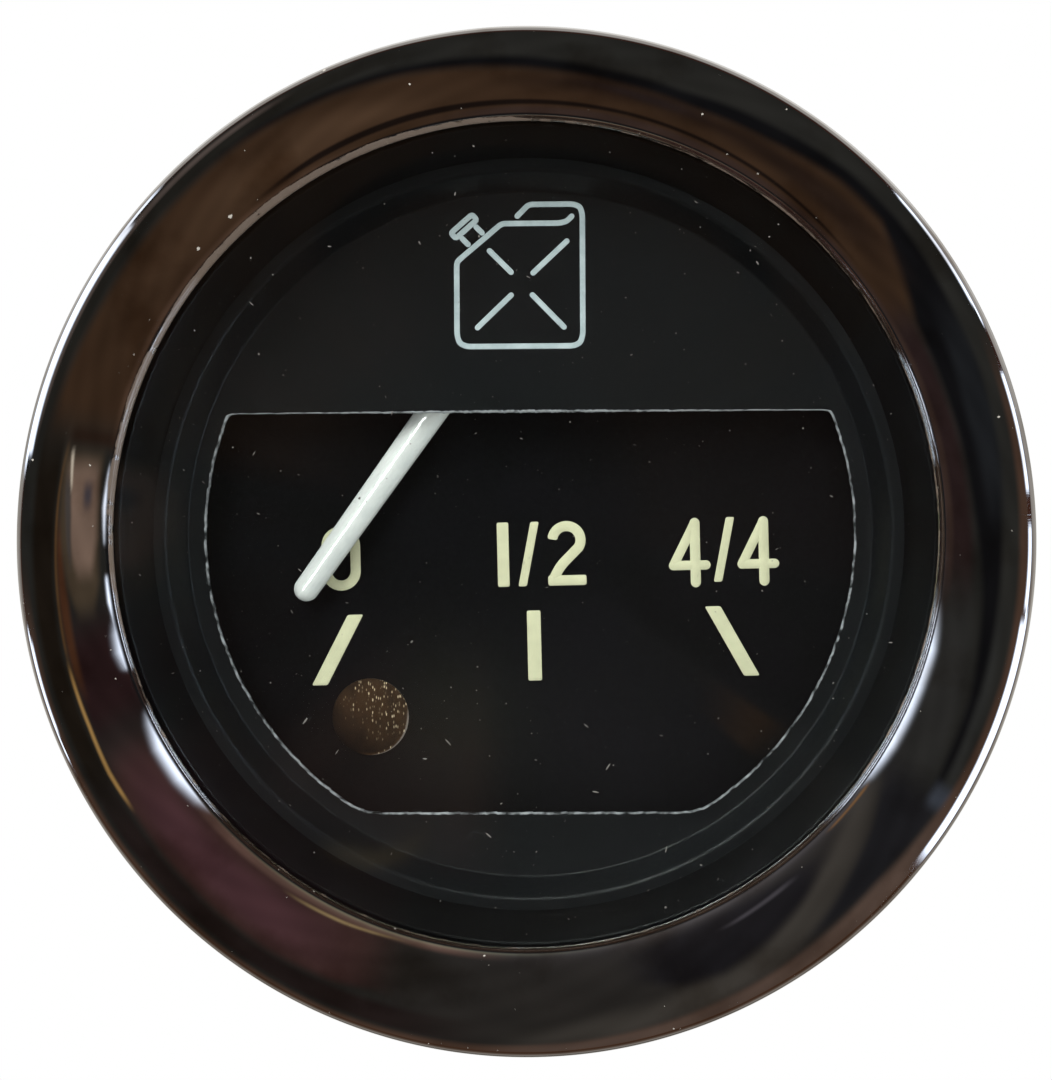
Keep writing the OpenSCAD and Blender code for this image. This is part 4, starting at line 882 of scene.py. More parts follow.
@dataclass
class CoverGlass:
    """The flat glass, with a ground edge and the dust that has settled on it. Lengths are in millimetres."""

    bevel: float = 0.2
    dust_count: int = 430
    dust_size: tuple[float, float] = (0.035, 0.11)
    dust_reach: float = 23.8
    dust_h: float = 0.02
    flake_corners: int = 7
    seed: int = 7

    def build(self) -> None:
        """Builds the glass and its dust."""
        radius, (front, back) = radius_mm("glass"), depths_mm("glass")
        profile = np.array([(0, front), (radius - self.bevel, front), (radius, front + self.bevel),
                            (radius, back - self.bevel), (radius - self.bevel, back), (0, back)])
        make_piece("flat_cover_glass", "glass", [lathe(profile, 256, closed=False)])
        self.settle_dust(front)

    def settle_dust(self, front: float) -> None:
        """Scatters flakes of dust: low cones with uneven radii, some drawn out into short fibres.

        The root of a random share spreads them evenly over the glass. A cube makes most of them small,
        and a sixth power draws out only a few.

        Args:
            front: the depth of the glass's front face.
        """
        count, corners = self.dust_count, self.flake_corners
        chance = np.random.default_rng(self.seed)
        far = self.dust_reach * np.sqrt(chance.random(count))
        way = chance.random(count) * 2 * np.pi
        size = self.dust_size[0] + (self.dust_size[1] - self.dust_size[0]) * chance.random(count) ** 3
        long = 1 + 5 * chance.random(count) ** 6
        turn = whole_turn(corners).T
        reach = size[:, None] / 2 * (0.7 + 0.6 * chance.random((count, corners)))
        lean = chance.random(count)[:, None] * np.pi
        u, v = reach * np.cos(turn) * long[:, None], reach * np.sin(turn)
        x = (far * np.cos(way))[:, None] + u * np.cos(lean) - v * np.sin(lean)
        z = (far * np.sin(way))[:, None] + u * np.sin(lean) + v * np.cos(lean)
        rim = np.stack([x, np.full_like(x, front - 0.004), z], -1)
        tip = rim.mean(1, keepdims=True) - [0, self.dust_h, 0]
        base = np.arange(count)[:, None] * (corners + 1)
        ring = np.arange(corners)[None]
        faces = np.stack([base + ring, base + (ring + 1) % corners, base + corners + 0 * ring], -1)
        mesh = new_mesh("glass_dust", np.concatenate([rim, tip], 1),
                        faces.reshape(-1, 3).tolist() + (base + ring).tolist())
        # House dust: matt, between grey and brown
        mesh.materials.append(PlainFinish("house_dust", "#5f5d59", "#7b7872", 1, (0.9, 1.0)).material())
        turn_outwards(mesh, weld=False)
        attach(new_object("glass_dust", mesh), "gauge")
        LOG.info("glass_dust: %d flakes", count)


@dataclass
class MaskFace:
    """The spacer ring, the dished mask with its window, and the can symbol. Lengths are in millimetres."""

    face_r: float = 20.8
    dish_r: float = 21.9
    window_r: float = 19.7
    window_top: float = 7.4
    window_bottom: float = 16.9
    bite: float = 0.06
    bite_len: float = 0.83
    edge: float = 0.1
    sheet: float = 0.5
    dish_h: float = 2.0
    spacer_w: float = 0.6
    spacer_shelf: float = 0.7
    ink_w: float = 0.34
    segments: int = 1080

    def window(self, angle: np.ndarray) -> np.ndarray:
        """The window's radius at each angle: the least of the circle and the two flats.

        A soft least, the power mean of the three with a high power, gives the corners their fillet. The
        punch left the edge in short slanting bites, which a saw wave takes from it.

        Args:
            angle: the angles in radians, from +X towards +Z.

        Returns:
            The radius at each angle.
        """
        up, down = np.maximum(np.sin(angle), 1e-3), np.maximum(-np.sin(angle), 1e-3)
        sides = np.stack([np.full_like(angle, self.window_r), self.window_top / up, self.window_bottom / down])
        least = np.sum(sides ** -90.0, 0) ** (-1 / 90.0)
        steps = (angle * self.window_r / self.bite_len) % 1.0
        return least - self.bite * steps * (0.6 + 0.4 * np.sin(angle * 47.0))

    def build(self) -> None:
        """Builds the spacer ring, the mask and the symbol.

        Each row of the mask runs from the window's cut edge over the face, down the dish to the rim, and
        back along the sheet's rear side. The punched edge is bare metal with a painted highlight, which is raised
        along its top.
        """
        self.build_spacer()
        outer, (rim_y, back) = radius_mm("mask"), depths_mm("mask")
        face_y = rim_y + self.dish_h
        angle = whole_turn(self.segments)
        window = self.window(angle)
        fixed = np.vstack([
            eased([(self.face_r - 3 * self.edge, face_y), (self.face_r, face_y), (self.dish_r, rim_y),
                   (outer, rim_y)], 0.25, 4, closed=False)[1:],
            [[outer, rim_y + self.sheet], [self.dish_r + self.sheet, rim_y + self.sheet],
             [self.face_r + self.sheet, back]]])
        spread = np.array([[0, self.edge, self.edge + 0.14]])
        radius = np.hstack([window + spread, np.repeat(fixed[None, :, 0], self.segments, 0),
                            window + self.edge / 2, window])
        depth = np.concatenate([[face_y + self.edge, face_y, face_y], fixed[:, 1], [back, back - 0.05]])
        wear_and_light = np.zeros_like(radius)
        # Bare metal and a painted highlight all round the cut edge, raised along the top where it faces down and
        # catches less light
        wear_and_light[:, :2] = 0.86 + 0.42 * smooth(np.sin(angle), 0.33, 0.4)
        make_piece("dished_mask", "mask", [Patch(about(radius, depth[None], angle), True, True, wear_and_light)], 30)
        self.build_symbol(face_y)

    def build_spacer(self) -> None:
        """Builds the spacer ring as a turned ring whose bore narrows towards the mask."""
        outer, (front, back) = radius_mm("spacer_ring"), depths_mm("spacer_ring")
        corners = [(outer - self.spacer_w, front), (outer, front), (outer, back),
                   (self.dish_r + self.spacer_shelf, back)]
        make_piece("turned_spacer_ring", "spacer_ring", [lathe(eased(corners, 0.12), 360)])

    def build_symbol(self, face_y: float) -> None:
        """Prints the can symbol: its outline and handle, a broken cross, and the cap on its neck.

        Args:
            face_y: the depth of the mask's face.
        """
        width, front = self.ink_w, depths_mm("fuel_symbol")[0]
        outline = np.array([
            (-0.6, 19.3), (0.1, 20), (2.75, 20), (3.2, 19.85), (3.35, 19.4), (3.35, 12.1), (3.2, 11.6),
            (2.8, 11.4), (-3.7, 11.4), (-4.15, 11.6), (-4.3, 12.1), (-4.3, 16.55), (-1.55, 18.85),
            (1.95, 18.85), (2.4, 18.95), (2.7, 19.25)])
        lines = [[(-2.3, 17.2), (-1, 15.9)], [(2.4, 17.75), (0.35, 15.85)], [(-3.05, 12.55), (-1, 14.5)],
                 [(0.3, 14.5), (2.2, 12.55)], [(-3.1, 18.65), (-2.75, 18.3)], [(-3.95, 17.95), (-3.6, 17.6)]]
        turn = math.radians(41)
        half = np.array([(-0.85, -0.22), (0.85, -0.22), (0.85, 0.22), (-0.85, 0.22)])
        cap = np.stack([-3.85 + half[:, 0] * math.cos(turn) - half[:, 1] * math.sin(turn),
                        18.7 + half[:, 0] * math.sin(turn) + half[:, 1] * math.cos(turn)], 1)
        strokes = [stroke(eased(outline, 0.25, 4, closed=False), width, front, face_y, Ends.ROUND),
                   stroke(eased(cap, 0.16, 3), width, front + 0.002, face_y, Ends.JOINED)]
        strokes += [stroke(np.array(line), width, front + 0.004, face_y, Ends.ROUND) for line in lines]
        make_piece("can_symbol", "fuel_symbol", strokes)


@dataclass
class DialFace:
    """What is printed and set into the dial: marks, numerals and the lens. Lengths are in millimetres."""

    turn_deg: float = 1.1
    mark_angle: float = 28.2
    mark_top: float = 4.7
    mark_len: float = 4.3
    mark_w: float = 0.85
    height: float = 3.95
    foot_z: float = -3.2
    line: float = 0.62
    one_line: float = 0.72
    slash_line: float = 0.52
    slash_w: float = 1.35
    four_w: float = 2.3
    corner: float = 0.12
    lens_x: float = -10.0
    lens_z: float = -11.2
    lens_r: float = 2.35
    lens_dome: float = 0.22
    lens_flange: float = 0.6

    def build(self) -> None:
        """Prints the marks and numerals and sets the lens."""
        front, back = depths_mm("scale_marks")
        strokes = [self.mark(angle, front, back) for angle in (-self.mark_angle, 0, self.mark_angle)]
        strokes += self.figure_zero(-13, 2.4, front, back)
        strokes += self.bar(-2.15, self.one_line, 0, front, back)
        strokes += self.bar(-0.9, self.slash_line, self.slash_w, front, back)
        strokes += self.figure_two(0.95, 2.35, front, back)
        strokes += self.figure_four(8.35, self.four_w, front, back)
        strokes += self.bar(11.1, self.slash_line, self.slash_w, front, back)
        strokes += self.figure_four(12.55, self.four_w, front, back)
        turn = math.radians(self.turn_deg)
        for each in strokes:
            x, z = each.points[..., 0].copy(), each.points[..., 2].copy()
            each.points[..., 0] = x * math.cos(turn) - z * math.sin(turn)
            each.points[..., 2] = x * math.sin(turn) + z * math.cos(turn)
        make_piece("printed_scale", "scale_marks", strokes)
        self.build_lens()

    def mark(self, angle: float, front: float, back: float) -> Patch:
        """A mark that points at the needle's axis, cut level at both ends."""
        foot, lean = self.mark_top + self.mark_len, math.tan(math.radians(angle))
        half = self.mark_w / 2 / math.cos(math.radians(angle))
        upper, lower = lean * (PIVOT_Z + self.mark_top), lean * (PIVOT_Z + foot)
        corners = [(upper - half, -self.mark_top), (upper + half, -self.mark_top),
                   (lower + half, -foot), (lower - half, -foot)]
        return blot(eased(corners, self.corner), front, back)

    def bar(self, left: float, line: float, lean: float, front: float, back: float) -> list[Patch]:
        """An upright bar, or the leaning stroke of a fraction, which is lean wide over all."""
        over = max(lean - line, 0)
        corners = np.array([(0, 0), (line, 0), (line + over, self.height), (over, self.height)])
        return [blot(eased(corners + [left, self.foot_z], self.corner), front, back)]

    def figure_zero(self, left: float, width: float, front: float, back: float) -> list[Patch]:
        """A nought: two half circles joined by straight sides."""
        bow, half = width / 2, self.line / 2
        path = np.vstack([arc((bow, self.height - bow), bow - half, 0, 180, 14),
                          arc((bow, bow), bow - half, 180, 360, 14)]) + [left, self.foot_z]
        return [stroke(path, self.line, front, back, Ends.JOINED)]

    def figure_two(self, left: float, width: float, front: float, back: float) -> list[Patch]:
        """A two: an arc over the top that eases into a slope, and a straight foot."""
        half, bow = self.line / 2, width / 2 - self.line / 2
        top = arc((width / 2, self.height - half - bow), bow, 176, -32, 18)
        slope = eased([top[-1], (width * 0.32, self.height * 0.3), (half, half * 1.1)], 0.5, 5, closed=False)
        path = np.vstack([top, slope[1:]]) + [left, self.foot_z]
        foot = np.array([(0, half), (width, half)]) + [left, self.foot_z]
        return [stroke(path, self.line, front + 0.002, back, Ends.EASED),
                stroke(foot, self.line, front, back, Ends.EASED)]

    def figure_four(self, left: float, width: float, front: float, back: float) -> list[Patch]:
        """A four: a slope, a bar that passes the stem, and the stem."""
        half, stem, bar = self.line / 2, width * 0.72, self.height * 0.265
        slope = np.array([(stem, self.height - half), (half, bar)]) + [left, self.foot_z]
        level = np.array([(half, bar), (width, bar)]) + [left, self.foot_z]
        upright = np.array([(stem, 0), (stem, self.height - half)]) + [left, self.foot_z]
        return [stroke(slope, self.line * 0.92, front + 0.004, back, Ends.ROUND),
                stroke(level, self.line * 0.92, front + 0.002, back, Ends.ROUND),
                stroke(upright, self.line, front, back, Ends.ROUND)]

    def build_lens(self) -> None:
        """Builds the lens: a low dome whose height falls with the square of the radius, over its flange.

        Its point value is painted light: it rises upwards and to the right and falls at the rim with the cube of
        the radius;
        it passes 1 on the last twelfth of the radius at the lower right, where the rim shows a painted highlight.
        """
        flange_r, (front, back) = radius_mm("reserve_lens"), depths_mm("reserve_lens")
        flange_y = back - self.lens_flange
        ring = np.linspace(0, self.lens_r, 13)
        dome = np.stack([ring, front + self.lens_dome * (ring / self.lens_r) ** 2], 1)
        body = eased([(self.lens_r, front + self.lens_dome + 0.02), (self.lens_r, flange_y),
                      (flange_r, flange_y), (flange_r, back), (0, back)], 0.06, 2, closed=False)
        patch = lathe(np.vstack([dome, body]), 96, (self.lens_x, self.lens_z), closed=False)
        right = (patch.points[..., 0] - self.lens_x) / self.lens_r
        up = (patch.points[..., 2] - self.lens_z) / self.lens_r
        out = np.hypot(right, up)
        # Painted light and shade across the lens, and the painted highlight on its lower right rim
        inside = np.clip(0.76 + 0.26 * right + 0.34 * up - 0.3 * out ** 3, 0, 1)
        patch.wear_and_light = inside + 1.3 * smooth(out, 0.93, 1.0) * smooth(right - up, 0.5, 1.2)
        make_piece("dial_lens", "reserve_lens", [patch])


@dataclass
class Needle:
    """The white needle: tapered, with a rounded ridge and a round tip. Lengths are in millimetres."""

    rest_deg: float = 35.8
    inner: float = 1.6
    reach: float = 24.3
    root_w: float = 2.0
    tip_w: float = 1.5
    edge_t: float = 0.45
    face_points: int = 25

    def build(self) -> None:
        """Builds the needle along its own axis and hangs it at rest.

        Along the needle the half width tapers evenly, and in the tip it is the root of what is left of the
        tip's circle. Across it the face rises from the edges to the ridge as the cosine to the power 0.8.
        """
        front, back = depths_mm("needle")
        tip_r = self.tip_w / 2
        straight = np.linspace(self.inner, self.reach - tip_r, 60)
        cap = self.reach - tip_r + tip_r * np.sin(np.radians(np.linspace(6, 90, 14)))
        along = np.concatenate([straight, cap])
        half = self.root_w / 2 + (self.tip_w - self.root_w) / 2 * along / self.reach
        left = np.clip((along - (self.reach - tip_r)) / tip_r, 0, 1)
        half = half * np.sqrt(np.maximum(1 - left ** 2, 0))
        face = np.linspace(-1, 1, self.face_points)
        across = np.concatenate([face, [1, -1]])
        rise = np.concatenate([np.cos(face * np.pi / 2) ** 0.8, [0, 0]])
        edge = back - self.edge_t
        depth = edge + (front - edge) * rise[None] * np.minimum(1, half[:, None] / tip_r)
        depth[:, self.face_points:] = back
        x, z = half[:, None] * across[None], np.repeat(-along[:, None], len(across), 1)
        lean = math.radians(self.rest_deg)
        points = np.stack([x * math.cos(lean) + z * math.sin(lean), depth,
                           PIVOT_Z - x * math.sin(lean) + z * math.cos(lean)], -1)
        root = np.repeat(points[:1].mean(1, keepdims=True), len(across), 1)
        make_piece("white_needle", "needle", [Patch(np.concatenate([root, points]), round_cols=True)], 50)


# The back

@dataclass(frozen=True)
class EasedCopy:
    """A stamped or moulded part: its CAD shape with every sharp edge eased. Lengths are in millimetres."""

    name: str
    node: str
    ease: float
    steps: int = 2
    angle: float = 30.0

    def build(self) -> None:
        """Copies the node's mesh, merges its doubles, joins its flat faces and bevels its sharp edges."""
        thing = frame["nodes"][self.node]
        shape = bmesh.new()
        shape.from_mesh(thing.data)
        shape.transform(thing.matrix_world)
        bmesh.ops.remove_doubles(shape, verts=shape.verts, dist=1e-6)
        bmesh.ops.dissolve_limit(shape, angle_limit=math.radians(1), verts=shape.verts, edges=shape.edges)
        bmesh.ops.recalc_face_normals(shape, faces=shape.faces)
        mesh = bpy.data.meshes.new(self.name)
        shape.to_mesh(mesh)
        shape.free()
        mesh.polygons.foreach_set("use_smooth", np.ones(len(mesh.polygons), bool))
        mesh.materials.append(FINISHES[NODE_SLOT[self.node]].material())
        made = new_object(self.name, mesh)
        bevel = made.modifiers.new("ease", "BEVEL")
        bevel.width, bevel.segments = self.ease * MM, self.steps
        bevel.limit_method, bevel.angle_limit = "ANGLE", math.radians(self.angle)
        bevel.loop_slide = False
        made.modifiers.new("flat_faces", "WEIGHTED_NORMAL").weight = 90
        seat(made, self.node)


@dataclass
class MountingStuds:
    """Two studs with a metric thread of 5 mm. Lengths are in millimetres."""

    at: tuple[float, float] = (17.0, 3.0)
    radius: float = 2.5
    pitch: float = 0.8
    depth: float = 0.46
    chamfer: float = 0.6
    around: int = 48

    def build(self) -> None:
        """Cuts both threads and seats them."""
        patches = [self.thread(side * self.at[0], *depths_mm("mounting_studs")) for side in (-1, 1)]
        make_piece("threaded_studs", "mounting_studs", patches, 40)

    def thread(self, x: float, low: float, high: float) -> Patch:
        """One stud: a helix of crests and roots, closed at both ends.

        Each row of the grid keeps its place in the thread's section while it climbs one pitch in a turn, so
        crest and root stay sharp. The radius is the core's plus the depth times a cut triangle wave. Past
        an end a row lies in the end's plane, where the chamfer holds the radius below the core's.

        Args:
            x: the stud's place.
            low: the depth of its inner end.
            high: the depth of its outer end.

        Returns:
            The stud's surface, whose two seams fall together.
        """
        places = np.array([0.0, 0.09, 0.13, 0.42, 0.46, 0.54, 0.58, 0.87, 0.91])
        turns = np.arange(-2, int((high - low) / self.pitch) + 2)
        rise = (turns[:, None] + places[None]).ravel()[:, None]
        wave = 1 - np.abs(2 * (rise % 1.0) - 1)
        crest = np.clip((wave - 0.22) / 0.66, 0, 1)
        turn = np.linspace(0, 1, self.around + 1)[None]
        depth = np.clip(low + self.pitch * (rise + turn), low, high)
        radius = self.radius - self.depth * (1 - crest) + 0 * turn
        left = np.minimum(high - depth, depth - low)
        radius = np.minimum(radius, self.radius - self.chamfer + left)
        radius[:1], radius[-1:] = 0, 0
        return Patch(about(radius, depth, -2 * np.pi * turn, (x, self.at[1])))


@dataclass
class ThumbNut:
    """A knurled thumb nut with a collar. Lengths are in millimetres."""

    name: str
    node: str
    knurls: int = 28
    knurl_depth: float = 0.5
    bore_r: float = 2.6
    collar_r: float = 4.3
    collar_len: float = 1.5
    chamfer: float = 0.55
    dish: float = 0.35
    per_knurl: int = 10

    def build(self) -> None:
        """Builds the nut: its section turned round, with the head's radius cut by the knurl.

        The knurl is a triangle wave round the head. Its depth fades within the chamfers, so that every
        tooth runs out on them.
        """
        centre, (front, back) = middle_mm(self.node), depths_mm(self.node)
        head, outer, c = front + self.collar_len, radius_mm(self.node), self.chamfer
        corners = [(self.bore_r, front + 0.5), (self.bore_r + 0.4, front), (self.collar_r, front),
                   (self.collar_r, head - 0.25), (self.collar_r + 0.25, head), (outer - c - 0.1, head),
                   (outer, head + c + 0.1)]
        flank = [(outer, y) for y in np.linspace(head + c + 0.5, back - c - 0.5, 8)]
        corners += flank + [(outer, back - c - 0.1), (outer - c - 0.1, back), (self.bore_r + 1.35, back),
                            (self.bore_r + 1.0, back - self.dish), (self.bore_r + 0.35, back - self.dish),
                            (self.bore_r, back - self.dish - 0.35)]
        profile = eased(corners, 0.12)
        count = self.knurls * self.per_knurl
        radius, depth = profile[None, :, 0], profile[None, :, 1]
        wave = np.clip(1.5 * np.abs(2 * (np.arange(count)[:, None] / self.per_knurl % 1.0) - 1) - 0.45, 0, 1)
        reach = smooth(radius, outer - c - 0.25, outer - 0.05) * (depth > head - 0.01)
        points = about(radius - self.knurl_depth * wave * reach, depth, whole_turn(count), centre)
        make_piece(self.name, self.node, [Patch(points, True, True)], 40)


@dataclass
class ToothedWashers:
    """The lock washers: spring steel whose outer teeth are thinned and twisted. Lengths are in millimetres."""

    teeth: int = 8
    tooth_len: float = 0.7
    bore_r: float = 2.7
    thinned: float = 0.18
    ease: float = 0.06
    per_tooth: int = 24

    def build(self) -> None:
        """Builds both. The rim's radius swells where the cosine of the turn times the teeth is high, and
        across each tooth the faces come nearer and tilt with the sine of the same turn."""
        low, high = box_mm("lock_washers")
        tip = float(high[2] - low[2]) / 2
        root, ease = tip - self.tooth_len, self.ease
        turn = whole_turn(self.teeth * self.per_tooth)
        tooth = smooth(np.cos(self.teeth * turn), 0.45, 0.8)
        tilt = np.clip(np.sin(self.teeth * turn) / 0.75, -1, 1)
        rim = root + self.tooth_len * tooth
        out = np.array([[0, 0, 0, 0.5, 1, 1, 1, 1, 0.5, 0, 0, 0]])
        radius = root + (rim - root) * out
        radius = radius + np.array([[0, 0, 0, 0, -ease, 0, 0, -ease, 0, 0, 0, 0]])
        radius[:, [0, 1, -2, -1]] = self.bore_r + np.array([0, ease, ease, 0])
        radius[:, [2, -3]] = root - 0.2
        front = low[1] + self.thinned * out * tooth * (1 + tilt)
        back = high[1] - self.thinned * out * tooth * (1 - tilt)
        depth = np.where(np.arange(12) < 6, front, back)
        depth = depth + np.array([[ease, 0, 0, 0, 0, ease, -ease, 0, 0, 0, 0, -ease]])
        x, z = high[0] - tip, middle_mm("lock_washers")[1]
        patches = [Patch(about(radius, depth, turn, (side * x, z)), True, True) for side in (-1, 1)]
        make_piece("toothed_washers", "lock_washers", patches, 30)


@dataclass
class LampHolder:
    """A push-in lamp holder with its ribbed grip, its cap and its bulb. Lengths are in millimetres."""

    lamp: str
    ribs: int = 12
    rib_h: float = 0.6
    rib_w: float = 1.25
    grip_r: float = 5.0
    flange_r: float = 7.0
    flange_y: float = 36.0
    flange_t: float = 1.4
    barrel_r: float = 5.9
    bore_r: float = 3.55
    cap_wall: float = 0.3
    bead_h: float = 0.09
    per_rib: int = 16

    def build(self) -> None:
        """Builds the holder, the cap and the bulb, and eases the contacts."""
        centre = middle_mm(f"{self.lamp}_holder")
        self.build_holder(centre)
        self.build_cap(centre)
        self.build_bulb(centre)
        EasedCopy(f"{self.lamp}_blades", f"{self.lamp}_contacts", 0.07).build()

    def build_holder(self, centre: tuple[float, float]) -> None:
        """Turns the holder's section and raises its ribs.

        A rib is a smooth step up and down round the grip, and it runs out just before the back edge. The
        back face is dished between its rim and the contacts.

        Args:
            centre: the lamp's x and z.
        """
        node = f"{self.lamp}_holder"
        (front, back), cap_back = depths_mm(node), depths_mm(f"{self.lamp}_cap")[1]
        shelf = self.flange_y + self.flange_t
        lines = [(0, cap_back + 0.1), (self.bore_r, cap_back + 0.1), (self.bore_r, front),
                 (self.barrel_r - 0.5, front), (self.barrel_r, front + 0.5), (self.barrel_r, self.flange_y),
                 (self.flange_r, self.flange_y), (self.flange_r, shelf), (self.grip_r + 0.15, shelf),
                 (self.grip_r, shelf + 0.3)]
        lines += [(self.grip_r, y) for y in np.linspace(shelf + 1.2, back - 1.4, 6)]
        lines += [(self.grip_r, back - 0.8), (self.grip_r - 0.1, back - 0.45), (self.grip_r - 0.55, back),
                  (self.grip_r - 1.0, back), (self.grip_r - 1.25, back - 0.3), (0, back - 0.3)]
        profile = eased(lines, 0.16, 4, closed=False)
        count = self.ribs * self.per_rib
        off = np.abs((np.arange(count)[:, None] / self.per_rib + 0.5) % 1.0 - 0.5)
        wide = self.rib_w / 2 / (2 * np.pi * self.grip_r / self.ribs)
        rib = 1 - smooth(off, wide * 0.75, wide * 1.15)
        radius, depth = profile[None, :, 0], profile[None, :, 1]
        reach = (depth > shelf + 0.05) * (radius > self.grip_r - 0.7)
        reach = reach * (1 - smooth(depth, back - 0.9, back - 0.3))
        points = about(radius + self.rib_h * rib * reach, depth, whole_turn(count), centre)
        make_piece(f"{self.lamp}_ribbed_holder", node, [Patch(points, round_rows=True)], 40)

    def build_cap(self, centre: tuple[float, float]) -> None:
        """Turns the bulb's cap: a drawn cup with a rolled mouth and one bead, pressed in as a bell curve."""
        node, wall = f"{self.lamp}_cap", self.cap_wall
        outer, (front, back) = radius_mm(node), depths_mm(node)
        depth = np.linspace(front + 0.4, back - 0.5, 40)
        bead = self.bead_h * np.exp(-((depth - front - 1.6) / 0.28) ** 2)
        side = np.stack([outer - bead, depth], 1)
        lip = arc((outer - wall / 2, front + wall / 2), wall / 2, -180, 0, 8)
        corner = arc((outer - 0.4, back - 0.4), 0.4, 0, 90, 6)
        inner = np.array([(0, back - wall), (outer - wall, back - wall), (outer - wall, front + 0.4)])
        profile = np.vstack([inner, lip, side, corner, [[0, back]]])
        make_piece(f"{self.lamp}_drawn_cap", node, [lathe(profile, 96, centre, closed=False)], 40)

    def build_bulb(self, centre: tuple[float, float]) -> None:
        """Blows the bulb: a half sphere that eases into a straight neck inside the cap."""
        node = f"{self.lamp}_bulb"
        radius, (front, back) = radius_mm(node), depths_mm(node)
        neck, round_y = radius - 0.05, front + radius
        profile = np.vstack([arc((0, round_y), radius, -90, 0, 20), eased(
            [(radius, round_y + 0.4), (neck, round_y + 2), (neck, back), (0, back)], 0.3, closed=False)])
        make_piece(f"{self.lamp}_blown_bulb", node, [lathe(profile, 72, centre, closed=False)], 40)


@dataclass
class BackWork:
    """What shows behind the panel: gasket, studs, nuts, clamp, terminals and lamps, in millimetres."""

    gasket_w: float = 2.8
    rivet_r: float = 1.2
    head_r: float = 1.9
    head_h: float = 0.7
    dome_steps: int = 7

    def build(self) -> None:
        """Builds all of it."""
        self.build_gasket()
        MountingStuds().build()
        for side in ("left", "right"):
            ThumbNut(f"{side}_knurled_nut", f"{side}_thumb_nut").build()
        for lamp in ("dial_lamp", "reserve_lamp"):
            LampHolder(lamp).build()
        EasedCopy("drawn_can", "housing", 0.12).build()
        EasedCopy("bent_clamp_strip", "clamp_bracket", 0.22, 3).build()
        ToothedWashers().build()
        EasedCopy("laminate_board", "terminal_board", 0.18).build()
        EasedCopy("stamped_blades", "terminal_tabs", 0.12).build()
        self.build_rivets()

    def build_gasket(self) -> None:
        """Turns the gasket, a soft square section that bulges a little between ring and panel."""
        outer, (front, back) = radius_mm("panel_gasket"), depths_mm("panel_gasket")
        inner = outer - self.gasket_w
        profile = eased([(inner, front), (outer, front), (outer, back), (inner, back)], 0.3, 4)
        make_piece("moulded_gasket", "panel_gasket", [lathe(profile, 256)])

    def build_rivets(self) -> None:
        """Turns each rivet: a shank between two low domes, each an arc that flattens towards its middle."""
        front, back = depths_mm("terminal_rivets")
        under, over = front + self.head_h, back - self.head_h
        x, z = radius_mm("terminal_rivets") - self.head_r, middle_mm("terminal_rivets")[1]
        turn = np.radians(np.linspace(0, 90, self.dome_steps))
        head_r, rise = self.head_r * np.cos(turn), self.head_h * np.sin(turn) ** 0.8
        profile = np.vstack([
            [[0, front]], np.stack([head_r, under - rise], 1)[-2::-1],
            [[self.rivet_r, under], [self.rivet_r, over]],
            np.stack([head_r, over + rise], 1)[:-1], [[0, back]]])
        make_piece("domed_rivets", "terminal_rivets",
                   [lathe(profile, 64, (side * x, z), closed=False) for side in (-1, 1)], 40)


# The studio

@dataclass(frozen=True)
class Reflection:
    """One soft patch of the room, told by where it shows on the ring.

    Attributes:
        colour: its colour as the ring shows it.
        reach: rows of an angle clockwise from the top, and where the patch begins and ends across the ring
            there, with 0 at the outer edge and 1 at the lip.
        soft: how soft it is along and across, in degrees and in shares of the ring's width.
    """

    colour: str
    reach: tuple[tuple[float, float, float], ...]
    soft: tuple[float, float] = (3.0, 0.03)

    def share(self, clock: np.ndarray, across: np.ndarray) -> np.ndarray:
        """How much of it shows at each place: a smooth window along times one across.

        Args:
            clock: each place's angle clockwise from the top.
            across: each place's share of the ring's width.

        Returns:
            Shares from 0 to 1.
        """
        along, begin, end = np.array(self.reach).T
        turned = clock + 360 * (clock < along[0] - self.soft[0])
        begin, end = np.interp(turned, along, begin), np.interp(turned, along, end)
        share = smooth(turned, along[0] - self.soft[0], along[0] + self.soft[0])
        share = share * (1 - smooth(turned, along[-1] - self.soft[0], along[-1] + self.soft[0]))
        share = share * smooth(across, begin - self.soft[1], begin + self.soft[1])
        return share * (1 - smooth(across, end - self.soft[1], end + self.soft[1]))


